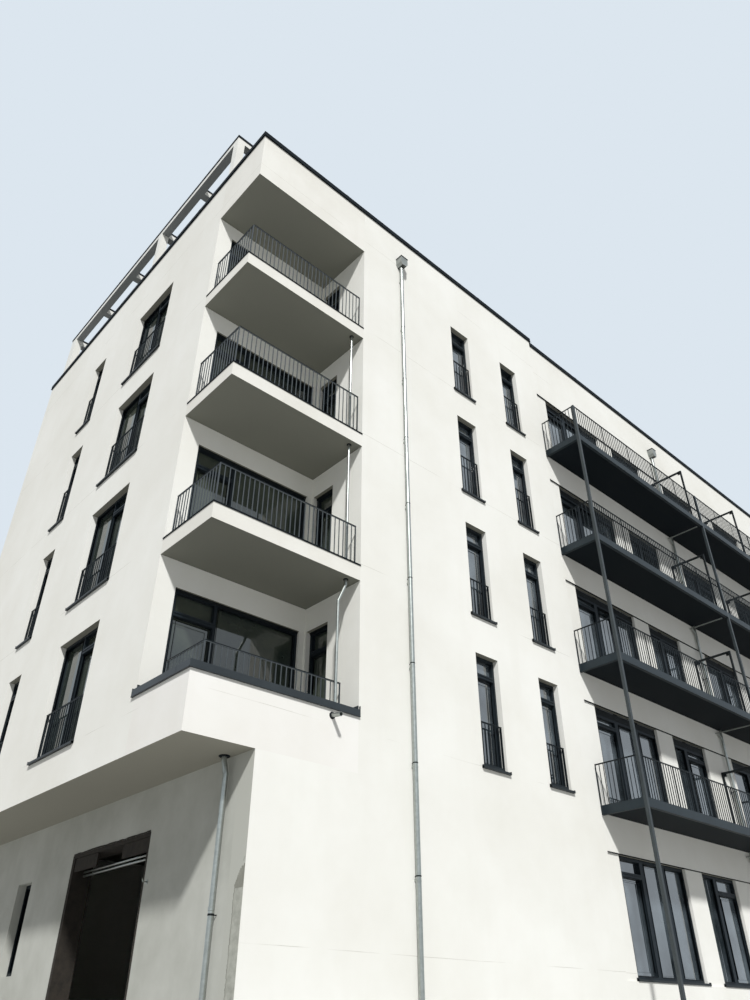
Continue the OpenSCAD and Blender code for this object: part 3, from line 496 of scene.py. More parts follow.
# unplasticised PVC frames with an anthracite foil: dull, with a fine print grain
WINDOW_FRAME = Finish(
    "foiled_upvc_anthracite", "window_frame", "182026", "20292F",
    roughness=0.48, mottle=260.0, grain=8.0, relief=0.15, ior=1.3,
)
# double glazing before unlit rooms, paler in some panes
WINDOW_GLASS = Glass(
    "double_glazing", "window_glass", "1B2327", "6C7880", roughness=0.02, mottle=1900.0, ior=2.7,
)
# the same glazing towards the side street and in the loggias: faintly olive, without blinds
OLIVE_GLASS = Glass(
    "double_glazing_olive", "window_glass", "1D282A", "4A5147",
    roughness=0.02, mottle=2400.0, ior=1.85,
)
# galvanised pipe: pale grey, with soft spangle
ZINC = Finish(
    "galvanised_pipe", "zinc", "ACB1AD", "989D99",
    roughness=0.3, metallic=0.8, mottle=70.0, grain=40.0, relief=0.15,
)
# pre-weathered zinc sheet of the hoppers: mid grey and duller
# what faces down is dark grey, painted shade
HOPPER_ZINC = Finish(
    "weathered_zinc_sheet", "zinc", "9A9E9B", "868B88",
    roughness=0.5, metallic=0.4, mottle=160.0, grain=40.0, relief=0.2, underside="4A4C49",
)
# raw aluminium of the blinds' end rails: dulled grey and satin
ALUMINIUM = Finish(
    "dulled_aluminium", "zinc", "8B9092", "7B8083",
    roughness=0.45, metallic=0.6, mottle=300.0, grain=40.0, relief=0.1,
)
# white satin paint on the pergola's steel box beams
# what faces down is grey, painted shade
WHITE_PAINT = Finish(
    "satin_white_paint", "white_paint", "F3F3EF", "E8E8E2",
    roughness=0.5, mottle=1200.0, grain=60.0, relief=0.2, underside="85898B",
)
# wood-wool and felt lining left raw in the gateway: fibrous dark brown
LINING = Finish(
    "raw_fibre_lining", "lining", "322D27", "221F1B",
    roughness=0.98, mottle=130.0, grain=16.0, relief=5.0,
)
# the studio's floor, in no slot of the part
PALE_FLOOR = Finish(
    "pale_matt_floor", "", "B6B6B4", "B1B1AF",
    roughness=0.9, mottle=9000.0, grain=400.0, relief=0.2,
)

NODE_FINISHES: tuple[tuple[Finish, tuple[str, ...]], ...] = (
    (PLASTER, (
        "corner_block_wall", "balcony_section_wall", "spandrel_bands", "side_wall",
        "rear_wall", "party_wall", "loggia_back_wall", "loggia_side_wall",
    )),
    (LOGGIA_RENDER, ("overhang_slab", "loggia_slabs", "corner_fascia")),
    (PIER_RENDER, ("ground_walls",)),
    (WHITE_RENDER, ("loggia_parapet",)),
    (GROUND_RENDER, ("recess_wall",)),
    (CONCRETE, ("floor_slabs",)),
    (MEMBRANE, ("roof_slab",)),
    (DARK_SHEET, ("parapet_cap",)),
    (SILL_SHEET, ("window_sills",)),
    (BLACK_SHEET, ("loggia_edge_sheets", "roof_coping", "pergola_coping")),
    (PAINTED_STEEL, ("balcony_channels",)),
    (POST_STEEL, ("balcony_posts",)),
    (RAIL_STEEL, ("window_railings", "balcony_railings")),
    (BAR_STEEL, ("loggia_railings",)),
    (DARK_STEEL, ("blind_boxes", "privacy_frames")),
    (DECK_PLATE, ("balcony_decks",)),
    (WINDOW_FRAME, ("front_window_frames", "side_window_frames", "rear_window_frames")),
    (WINDOW_GLASS, ("front_window_glass", "rear_window_glass")),
    (OLIVE_GLASS, ("side_window_glass",)),
    (ZINC, (
        "downpipes", "pipe_brackets", "balcony_drains", "loggia_drain_pipes", "overflow_spout",
        "gate_rails",
    )),
    (HOPPER_ZINC, ("rain_hoppers",)),
    (WHITE_PAINT, ("pergola_posts", "pergola_long_beams", "pergola_cross_beams")),
    (LINING, ("gate_lining",)),
)


def dress_nodes() -> None:
    """Gives every CAD node its material."""
    for finish, names in NODE_FINISHES:
        for name in names:
            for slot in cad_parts[name].material_slots:
                slot.link = "OBJECT"
                slot.material = finish.material()
            LOG.info("%s: %s", name, finish.name)


# the building's plan and heights

GROUND_STOREY = (0,)
UPPER_STOREYS = (1, 2, 3, 4)
ALL_STOREYS = GROUND_STOREY + UPPER_STOREYS

BUILDING_LENGTH = 29500.0
BUILDING_DEPTH = 11965.0
# the balcony section, the face of its wall and of the bands over it
SECTION_START = 9900.0
SECTION_END = BUILDING_LENGTH
ROW_FACE = 130.0
BAND_FACE = 100.0
# the middles of the balcony posts, and the front of the decks' edge channels
POSTS = (10080.0, 16700.0, 22700.0, 29320.0)
CHANNEL_FRONT = -1000.0
# the recessed wall on the side street
RECESS_FACE = 1205.0


@dataclass(frozen=True)
class Levels:
    """The heights that the sub-assemblies share."""

    first_floor: float = 4390.0
    storey: float = 3100.0
    roof_top: float = 16790.0
    coping_low: float = 17925.0
    coping_top: float = 18075.0
    sill: float = 55.0
    head: float = 2280.0
    transom: float = 1858.0
    ground_transom: float = 3100.0
    corner_head: float = 2305.0
    ground_sill: float = 1245.0
    low_window_rail: float = 940.0
    high_window_rail: float = 1150.0
    channel_first: float = 4352.0
    channel_pitch: float = 3156.0

    def floor(self, storey: int) -> float:
        """Gives the top of an upper floor."""
        return self.first_floor + (storey - 1) * self.storey

    def window_floor(self, storey: int) -> float:
        """Gives the floor that a row's window heights are measured from."""
        return self.ground_sill - self.sill if storey == 0 else self.floor(storey)

    def ground_row_transom(self) -> float:
        """Gives the ground row's transom above its window floor."""
        return self.ground_transom - self.window_floor(0)

    def window_rail(self, storey: int) -> float:
        """Gives the top of a window railing above its floor."""
        return self.low_window_rail if is_low(storey) else self.high_window_rail

    def channel(self, storey: int) -> float:
        """Gives the top of a balcony's edge channel."""
        return self.channel_first + (storey - 1) * self.channel_pitch


def is_low(storey: int) -> bool:
    """Tells whether a storey has the lower railings."""
    return storey < 3


LEVELS = Levels()


class Facing(Enum):
    """The way a wall looks, which says where along, out and up point."""

    FRONT = "front"
    SIDE = "side"
    REAR = "rear"

    def at(self, face: float, along: float, out: float, up: float) -> Vector:
        """Places a point on a wall.

        Args:
            face: distance of the wall's face from the near corner.
            along: distance along the wall.
            out: distance in front of the face.
            up: height above the ground.

        Returns:
            The point in the shared frame.
        """
        if self is Facing.FRONT:
            return site(along, face - out, up)
        if self is Facing.SIDE:
            return site(face - out, along, up)
        return site(along, face + out, up)


# pieces

class Form:
    """One piece under construction: a bmesh in metres in the shared frame."""

    TUBE_SIDES = 20
    COLLAR_BORE = 0.6
    COLLAR_LIP = 0.35
    SMOOTH_BELOW_DEGREES = 40.0

    def __init__(self, name: str, finish: Finish) -> None:
        """Starts an empty piece.

        Args:
            name: the piece's name.
            finish: its finish.
        """
        self.name = name
        self.finish = finish
        self.mesh = bmesh.new()

    def box(self, low: Vector, high: Vector, bevel: float = 0.0) -> None:
        """Adds a box between two corners.

        Args:
            low: one corner in the shared frame.
            high: the opposite corner.
            bevel: width of the rounding of its edges.
        """
        span = Vector([abs(b - a) for a, b in zip(low, high)])
        matrix = Matrix.Translation((low + high) / 2.0) @ Matrix.Diagonal(span.to_4d())
        made = bmesh.ops.create_cube(self.mesh, size=1.0, matrix=matrix)
        if bevel > 0.0:
            edges = list(dict.fromkeys(edge for vert in made["verts"] for edge in vert.link_edges))
            bmesh.ops.bevel(
                self.mesh, geom=edges, offset=bevel / MM_PER_M, offset_type="OFFSET",
                segments=1, profile=0.5, affect="EDGES", material=-1,
            )

    def plate(
        self, facing: Facing, face: float, along: Span, out: Span, up: Span, bevel: float = 0.0
    ) -> None:
        """Adds a box given by its place on a wall.

        Args:
            facing: the way the wall looks.
            face: the wall's face.
            along: start and end along the wall.
            out: start and end in front of the face.
            up: start and end in height.
            bevel: width of the rounding of its edges.
        """
        low, high = (facing.at(face, along[end], out[end], up[end]) for end in (0, 1))
        self.box(low, high, bevel)

    def ring(
        self, facing: Facing, face: float, along: Span, up: Span, bar: float, out: Span
    ) -> None:
        """Adds a rectangular frame by insetting one face and extruding its rim.

        Args:
            facing: the way the wall looks.
            face: the wall's face.
            along: start and end along the wall.
            up: start and end in height.
            bar: width of the frame's bars.
            out: start and end in front of the face.
        """
        corners = [(along[0], up[0]), (along[1], up[0]), (along[1], up[1]), (along[0], up[1])]
        verts = [self.mesh.verts.new(facing.at(face, a, out[0], z)) for a, z in corners]
        sheet = self.mesh.faces.new(verts)
        rim = bmesh.ops.inset_individual(
            self.mesh, faces=[sheet], thickness=bar / MM_PER_M, use_even_offset=True
        )["faces"]
        bmesh.ops.delete(self.mesh, geom=[sheet], context="FACES_ONLY")
        made = bmesh.ops.extrude_face_region(self.mesh, geom=rim, use_keep_orig=True)
        moved = [item for item in made["geom"] if isinstance(item, bmesh.types.BMVert)]
        shift = facing.at(face, 0.0, out[1], 0.0) - facing.at(face, 0.0, out[0], 0.0)
        bmesh.ops.translate(self.mesh, verts=moved, vec=shift)

    def tube(
        self, start: Vector, end: Vector, radius: float, end_radius: float = 0.0,
        sides: int = TUBE_SIDES,
    ) -> None:
        """Adds a round bar between two points.

        Args:
            start: middle of one end.
            end: middle of the other end.
            radius: radius at the start.
            end_radius: radius at the end, or 0 for the same.
            sides: number of sides.
        """
        run = end - start
        turn = run.to_track_quat("Z", "Y").to_matrix().to_4x4()
        bmesh.ops.create_cone(
            self.mesh, cap_ends=True, segments=sides, radius1=radius / MM_PER_M,
            radius2=(end_radius or radius) / MM_PER_M, depth=run.length,
            matrix=Matrix.Translation((start + end) / 2.0) @ turn,
        )

    def collar(self, middle: Vector, axis: Vector, radius: float, height: float) -> None:
        """Adds a rounded ring like a pipe socket, spun about the pipe.

        Args:
            middle: middle of the ring.
            axis: direction of the pipe.
            radius: outer radius.
            height: height along the pipe.
        """
        half = height / (2.0 * MM_PER_M)
        outer = radius / MM_PER_M
        bore = outer * self.COLLAR_BORE
        lip = min(half, outer) * self.COLLAR_LIP
        matrix = Matrix.Translation(middle) @ axis.to_track_quat("Z", "Y").to_matrix().to_4x4()
        profile = [
            (bore, -half), (outer - lip, -half), (outer, -half + lip),
            (outer, half - lip), (outer - lip, half), (bore, half),
        ]
        verts = [self.mesh.verts.new(matrix @ Vector((r, 0.0, z))) for r, z in profile]
        edges = [self.mesh.edges.new(pair) for pair in zip(verts, verts[1:] + verts[:1])]
        bmesh.ops.spin(
            self.mesh, geom=verts + edges, cent=middle, axis=axis.normalized(),
            angle=math.tau, steps=self.TUBE_SIDES, use_merge=True,
        )

    def bend(self, points: Sequence[Vector], radius: float, sides: int = 16) -> None:
        """Joins lengths of pipe through points with round knuckles.

        Args:
            points: the middle line, corner by corner.
            radius: radius of the pipe.
            sides: number of sides.
        """
        for start, end in zip(points, points[1:]):
            self.tube(start, end, radius, sides=sides)
        for corner in points[1:-1]:
            bmesh.ops.create_uvsphere(
                self.mesh, u_segments=sides, v_segments=sides // 2, radius=radius / MM_PER_M,
                matrix=Matrix.Translation(corner),
            )

    def done(self, smooth: bool = False) -> None:
        """Turns the bmesh into an object that rides on the building.

        Args:
            smooth: whether the faces are shaded smooth, apart from sharp edges.
        """
        bmesh.ops.recalc_face_normals(self.mesh, faces=self.mesh.faces[:])
        data = bpy.data.meshes.new(self.name)
        self.mesh.to_mesh(data)
        self.mesh.free()
        data.materials.append(self.finish.material())
        made = bpy.data.objects.new(self.name, data)
        bpy.context.scene.collection.objects.link(made)
        if smooth:
            data.shade_smooth()
            data.set_sharp_from_angle(angle=math.radians(self.SMOOTH_BELOW_DEGREES))
        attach(made, BODY)
        LOG.info("%s: %d faces", self.name, len(data.polygons))


# windows

FRAME_BAR = 72.0


@dataclass(frozen=True)
class Opening:
    """A window: where it starts along the wall, its width, and the parts between its mullions.

    A part is its start and end from the window's own start, and whether it opens.
    """

    start: float
    width: float
    parts: tuple[tuple[float, float, bool], ...]

    def mirrored(self, total: float) -> "Opening":
        """Gives the same window on the other side of the section's middle."""
        parts = tuple((self.width - b, self.width - a, opens) for a, b, opens in self.parts[::-1])
        return Opening(total - self.start - self.width, self.width, parts)

    def inset(self, gap: float) -> Span:
        """Gives the window's start and end, each drawn in by a gap."""
        return self.start + gap, self.start + self.width - gap


def window(
    start: float, width: float, opens: Sequence[bool], shares: Sequence[float] = (),
    mullion: float = FRAME_BAR,
) -> Opening:
    """Divides a window into parts.

    Args:
        start: where it starts along the wall.
        width: its width.
        opens: whether each part opens.
        shares: where each mullion's middle stands, as a share of the width.
        mullion: width of the mullions.

    Returns:
        The window.
    """
    middles = [width * share for share in shares]
    lefts = [FRAME_BAR] + [middle + mullion / 2.0 for middle in middles]
    rights = [middle - mullion / 2.0 for middle in middles] + [width - FRAME_BAR]
    return Opening(start, width, tuple(zip(lefts, rights, opens)))


def balcony_row() -> tuple[Opening, ...]:
    """Lays out a row of the balcony section: three kinds of window, then the same mirrored.

    Returns:
        The windows from the left.
    """
    middle_width, middle_gap, mullion = 1935.0, 760.0, 175.0
    middle_start = (SECTION_END - SECTION_START) / 2.0 - middle_gap - middle_width
    left = (
        window(SECTION_START + 595.0, 2670.0, (True, False, False), (0.35, 0.675), mullion),
        window(SECTION_START + 4010.0, 1630.0, (False, True), (0.42,), mullion),
        window(SECTION_START + middle_start, middle_width, (False, True), (0.53,), mullion),
    )
    return left + tuple(item.mirrored(SECTION_START + SECTION_END) for item in left)


def rear_row() -> tuple[Opening, ...]:
    """Lays out a row of the rear: seven double windows, evenly spread.

    Returns:
        The windows from the left.
    """
    margin, width, count = 2600.0, 1630.0, 7
    pitch = (BUILDING_LENGTH - 2.0 * margin - width) / (count - 1)
    return tuple(
        window(margin + index * pitch, width, (True, False), (0.5,)) for index in range(count)
    )


BALCONY_ROW = balcony_row()
REAR_ROW = rear_row()
NARROW_ROW = tuple(window(start, 680.0, (True,)) for start in (6240.0, 8255.0))
SIDE_ROW = (
    window(3655.0, 1715.0, (True, False), (825.0 / 1715.0,)), window(7295.0, 685.0, (True,)),
)
LOGGIA_WIDE = (window(380.0, 2660.0, (True, False), (863.0 / 2660.0,)),)
LOGGIA_SLIT = (window(905.0, 640.0, (True,)),)
SLOT_ROW = (window(7290.0, 660.0, (False,)),)


@dataclass(frozen=True)
class WindowBank:
    """Like windows in one wall: their openings, frame face and heights above their floor."""

    name: str
    facing: Facing
    frame_face: float
    openings: tuple[Opening, ...]
    storeys: tuple[int, ...] = UPPER_STOREYS
    head: float = LEVELS.head
    transom: float = LEVELS.transom
    cover: float = 0.0

    SASH_BAR = 70.0
    BEAD = 32.0
    LIGHT_BAR = 40.0
    STEP_BAR = 7.0
    # how far in front of the frame's face each part starts and ends
    LEAF_OUT = (0.0, 11.0)
    STEP_OUT = (-26.0, -3.0)
    LIGHT_OUT = (-20.0, 6.0)
    TRANSOM_OUT = (0.0, 14.0)
    TRANSOM_RISE = 28.0
    # how far a leaf and a top light lap over the frame, and a head cover stands in from it
    LEAF_LAP = 8.0
    LIGHT_LAP = 4.0
    COVER_GAP = 3.0

    def parts(self) -> Iterable[tuple[float, float, bool, float, float, float]]:
        """Lists each part of each window with its clear edges.

        Yields:
            Start, end, whether it opens, sill, head and transom of each part.
        """
        for storey in self.storeys:
            base = LEVELS.window_floor(storey)
            for item in self.openings:
                for start, end, opens in item.parts:
                    yield (
                        item.start + start, item.start + end, opens,
                        base + LEVELS.sill + FRAME_BAR, base + self.head - FRAME_BAR,
                        base + self.transom,
                    )

    def leaf(self, form: Form, along: Span, up: Span, bar: float) -> None:
        """Adds one leaf or bead: a flat frame and the slimmer step that holds its pane.

        Args:
            form: the piece it belongs to.
            along: clear start and end along the wall.
            up: clear start and end in height.
            bar: width of its bars.
        """
        lap = self.LEAF_LAP
        outer = (along[0] - lap, along[1] + lap), (up[0] - lap, up[1] + lap)
        inner = ((low + bar, high - bar) for low, high in outer)
        form.ring(self.facing, self.frame_face, *outer, bar, self.LEAF_OUT)
        form.ring(self.facing, self.frame_face, *inner, self.STEP_BAR, self.STEP_OUT)

    def covers(self) -> None:
        """Builds the two-step covers of the heads: a deep lower step, a shallow upper one."""
        form = Form(self.name + "_head_covers", DARK_STEEL)
        steps = (
            (self.cover, self.cover * 0.38, 18.0), (self.cover * 0.35, self.COVER_GAP, 30.0),
        )
        for storey in self.storeys:
            high = LEVELS.window_floor(storey) + self.head
            for item in self.openings:
                for low_drop, high_drop, out in steps:
                    form.plate(
                        self.facing, self.frame_face, item.inset(self.COVER_GAP), (0.0, out),
                        (high - low_drop, high - high_drop), 3.0,
                    )
        form.done()

    def build(self) -> None:
        """Builds the leaves, the beads of the fixed panes, the top lights and the covers."""
        form = Form(self.name + "_casements", WINDOW_FRAME)
        half, lap, light = FRAME_BAR / 2.0, self.LEAF_LAP, self.LIGHT_LAP
        for start, end, opens, low, high, transom in self.parts():
            if not opens:
                self.leaf(form, (start, end), (low, high), self.BEAD)
                continue
            self.leaf(form, (start, end), (low, transom - half), self.SASH_BAR)
            form.ring(
                self.facing, self.frame_face, (start - light, end + light),
                (transom + half - light, high + light), self.LIGHT_BAR, self.LIGHT_OUT,
            )
            form.plate(
                self.facing, self.frame_face, (start - lap, end + lap), self.TRANSOM_OUT,
                (transom + half - lap, transom + half + self.TRANSOM_RISE), 3.0,
            )
        form.done()
        if self.cover > 0.0:
            self.covers()


@dataclass(frozen=True)
class Windows:
    """All windows, the blinds drawn up in the balcony windows' heads, and the drip edges."""

    front_face: float = 125.0
    side_face: float = 125.0
    row_frame_face: float = 200.0
    rear_face: float = BUILDING_DEPTH - 125.0
    loggia_wide_face: float = 1665.0
    loggia_slit_face: float = 3260.0
    slot_face: float = 1365.0
    loggia_transom: float = 1840.0
    loggia_cover: float = 46.0
    narrow_transom: float = 1880.0
    side_transom: float = 1920.0
    slot_head: float = 1620.0
    blind_face: float = 195.0
    blind_height: float = 170.0
    slats: int = 5
    slat_pitch: float = 24.0
    slat_height: float = 15.0
    gap: float = 4.0
    slat_out: Span = (0.0, 5.0)
    rail_out: Span = (0.0, 9.0)
    rail_low: float = 26.0
    rail_high: float = 14.0
    drip_out: Span = (-28.0, 5.0)
    drip_drop: float = 7.0
    drip_rise: float = 9.0

    def balcony_banks(self) -> tuple[WindowBank, ...]:
        """Lists the banks of the balcony section.

        Returns:
            The banks of the upper storeys and of the ground storey.
        """
        place = Facing.FRONT, self.row_frame_face, BALCONY_ROW
        return (
            WindowBank("balcony_window", *place, head=LEVELS.head - self.blind_height),
            WindowBank(
                "ground_window", *place, GROUND_STOREY, transom=LEVELS.ground_row_transom()
            ),
        )

    def other_banks(self) -> tuple[WindowBank, ...]:
        """Lists the banks of the loggias, the corner block, the rear and the recessed wall.

        Returns:
            The banks, in the order in which they are built.
        """
        corner = {"head": LEVELS.corner_head}
        loggia = {"transom": self.loggia_transom, "cover": self.loggia_cover, **corner}
        front, side, rear = Facing.FRONT, Facing.SIDE, Facing.REAR
        return (
            WindowBank("loggia_window", front, self.loggia_wide_face, LOGGIA_WIDE, **loggia),
            WindowBank("loggia_slit_window", side, self.loggia_slit_face, LOGGIA_SLIT, **loggia),
            WindowBank(
                "narrow_window", front, self.front_face, NARROW_ROW,
                transom=self.narrow_transom, **corner,
            ),
            WindowBank(
                "side_window", side, self.side_face, SIDE_ROW,
                transom=self.side_transom, **corner,
            ),
            WindowBank("rear_window", rear, self.rear_face, REAR_ROW),
            WindowBank(
                "rear_ground_window", rear, self.rear_face, REAR_ROW, GROUND_STOREY,
                transom=LEVELS.ground_row_transom(),
            ),
            WindowBank(
                "slot_window", side, self.slot_face, SLOT_ROW, GROUND_STOREY, self.slot_head
            ),
        )

    def drips(self) -> None:
        """Builds the drip edge over each row of the balcony section, near black so that it also
        stands in for the bands' shadow line.
        """
        # the near-black sheet is partly painted shade: it stands in for the shadow line under each
        # band
        form = Form("band_drip_edges_and_shadow_line", BLACK_SHEET)
        for storey in ALL_STOREYS:
            head = LEVELS.window_floor(storey) + LEVELS.head
            form.plate(
                Facing.FRONT, BAND_FACE, (SECTION_START, SECTION_END), self.drip_out,
                (head - self.drip_drop, head + self.drip_rise), 2.0,
            )
        form.done()

    def blinds(self) -> None:
        """Builds the blinds' slats and end rails."""
        slats = Form("blind_slats", DARK_STEEL)
        rails = Form("blind_end_rails", ALUMINIUM)
        for storey in UPPER_STOREYS:
            head = LEVELS.window_floor(storey) + LEVELS.head
            foot = head - self.blind_height + 8.0
            for item in BALCONY_ROW:
                for step in range(self.slats):
                    low = foot + step * self.slat_pitch
                    slats.plate(
                        Facing.FRONT, self.blind_face, item.inset(self.gap), self.slat_out,
                        (low, low + self.slat_height), 2.0,
                    )
                for start, end, _ in item.parts:
                    rails.plate(
                        Facing.FRONT, self.blind_face,
                        (item.start + start + self.gap, item.start + end - self.gap),
                        self.rail_out, (head - self.rail_low, head - self.rail_high), 2.0,
                    )
        slats.done()
        rails.done()

    def build(self) -> None:
        """Builds the windows' moving parts, the blinds and the drip edges."""
        for bank in self.balcony_banks():
            bank.build()
        self.blinds()
        self.drips()
        for bank in self.other_banks():
            bank.build()


@dataclass(frozen=True)
class SillTrim:
    """The turned-up ends and the drip lip of the folded sills."""

    projection: float = 49.5
    edge: float = 35.0
    cap: float = 7.0
    upstand: float = 26.0
    run_on: Span = (55.0, 55.0)
    side_run_on: Span = (10.0, 105.0)

    def sill(
        self, form: Form, facing: Facing, face: float, item: Opening, run_on: Span, top: float
    ) -> None:
        """Adds both end caps and the front lip of one sill.

        Args:
            form: the piece they belong to.
            facing: the way the wall looks.
            face: the wall's face.
            item: the window over the sill.
            run_on: lengths of the sill past the window at its start and at its end.
            top: top of the sill.
        """
        first, last = item.start - run_on[0], item.start + item.width + run_on[1]
        out = self.projection
        for place in (first, last - self.cap):
            form.plate(
                facing, face, (place, place + self.cap), (0.0, out),
                (top - self.edge, top + self.upstand), 2.0,
            )
        form.plate(
            facing, face, (first + self.cap, last - self.cap), (out - 5.0, out),
            (top - 1.0, top + 6.0), 1.5,
        )

    def build(self) -> None:
        """Builds the trim of all sills."""
        form = Form("sill_ends_and_lips", SILL_SHEET)
        for facing, face, row, storeys, run_on in (
            (Facing.FRONT, 0.0, NARROW_ROW, UPPER_STOREYS, self.run_on),
            (Facing.SIDE, 0.0, SIDE_ROW, UPPER_STOREYS, self.side_run_on),
            (Facing.FRONT, ROW_FACE, BALCONY_ROW, GROUND_STOREY, self.run_on),
            (Facing.REAR, BUILDING_DEPTH, REAR_ROW, ALL_STOREYS, self.run_on),
        ):
            for storey in storeys:
                for item in row:
                    top = LEVELS.window_floor(storey) + LEVELS.sill
                    self.sill(form, facing, face, item, run_on, top)
        form.done()


# railings and balcony steel

@dataclass(frozen=True)
class RailRun:
    """One straight railing: the plane it stands in, its start and end, and its heights."""

    facing: Facing
    face: float
    along: Span
    low: float
    high: float


@dataclass(frozen=True)
class RailTrim:
    """Handrails, stanchions and fixings of the railings."""

    balcony_face: float = -974.0
    balcony_sides: Span = (10071.0, 29345.0)
    balcony_side_run: Span = (-920.0, 90.0)
    loggia_face: float = 82.0
    loggia_front_run: Span = (66.0, 3093.0)
    loggia_side_run: Span = (92.0, 1468.0)
    loggia_foot: float = 25.0
    parapet_face: float = 406.0
    parapet_front_run: Span = (390.0, 3078.0)
    parapet_side_run: Span = (416.0, 1523.0)
    inner: float = -12.0
    cap_depth: float = 36.0
    cap_height: float = 9.0
    stanchion: float = 12.0
    stanchion_pitch: float = 1310.0
    foot: float = 20.0
    post_gap: float = 45.0
    balcony_heights: Span = (865.0, 990.0)
    loggia_heights: Span = (870.0, 1040.0)
    parapet_height: float = 950.0
    french_face: float = 68.0
    french_bar: float = 8.0

    def runs(self) -> Iterable[RailRun]:
        """Lists the railings of the balconies and of the loggias.

        Yields:
            Each straight run.
        """
        for storey in UPPER_STOREYS:
            low = LEVELS.channel(storey)
            high = low + self.balcony_heights[0 if is_low(storey) else 1]
            for start, end in zip(POSTS, POSTS[1:]):
                along = (start + self.post_gap, end - self.post_gap)
                yield RailRun(Facing.FRONT, self.balcony_face, along, low, high)
            for face in self.balcony_sides:
                yield RailRun(Facing.SIDE, face, self.balcony_side_run, low, high)
        for storey in UPPER_STOREYS[1:]:
            floor = LEVELS.floor(storey)
            low = floor + self.loggia_foot
            high = floor + self.loggia_heights[0 if is_low(storey) else 1]
            yield RailRun(Facing.FRONT, self.loggia_face, self.loggia_front_run, low, high)
            yield RailRun(Facing.SIDE, self.loggia_face, self.loggia_side_run, low, high)
        low = LEVELS.first_floor
        high = low + self.parapet_height
        yield RailRun(Facing.FRONT, self.parapet_face, self.parapet_front_run, low, high)
        yield RailRun(Facing.SIDE, self.parapet_face, self.parapet_side_run, low, high)

    def railings(self) -> None:
        """Builds the handrail caps, the stanchions and their feet."""
        caps = Form("railing_handrails", RAIL_STEEL)
        uprights = Form("railing_stanchions", RAIL_STEEL)
        feet = Form("railing_foot_plates", RAIL_STEEL)
        for run in self.runs():
            under = run.high - self.cap_height
            caps.plate(
                run.facing, run.face, run.along, (self.inner, self.inner + self.cap_depth),
                (under, run.high), 2.0,
            )
            length = run.along[1] - run.along[0]
            count = max(1, round(length / self.stanchion_pitch))
            for index in range(count + 1):
                start = run.along[0] + (length - self.stanchion) * index / count
                end = start + self.stanchion
                uprights.plate(
                    run.facing, run.face, (start, end), (self.inner, 0.0), (run.low, under)
                )
                feet.plate(
                    run.facing, run.face, (start - self.foot, end + self.foot),
                    (self.inner - 14.0, 0.0), (run.low, run.low + 8.0), 2.0,
                )
        for form in (caps, uprights, feet):
            form.done()

    def brackets(self) -> None:
        """Builds the top bars and side brackets of the window railings."""
        form = Form("window_rail_brackets", RAIL_STEEL)
        windows = [(Facing.FRONT, item) for item in NARROW_ROW]
        windows += [(Facing.SIDE, item) for item in SIDE_ROW]
        for storey in UPPER_STOREYS:
            floor = LEVELS.floor(storey)
            top = floor + LEVELS.window_rail(storey)
            for facing, item in windows:
                form.plate(
                    facing, self.french_face, item.inset(1.0), (-14.0, 16.0),
                    (top - self.french_bar, top + 1.0), 2.0,
                )
                for start in (item.start, item.start + item.width - self.french_bar):
                    form.plate(
                        facing, self.french_face, (start, start + self.french_bar), (-40.0, 6.0),
                        (floor + 45.0, top), 2.0,
                    )
        form.done()

    def build(self) -> None:
        """Builds the trim of all railings."""
        self.railings()
        self.brackets()


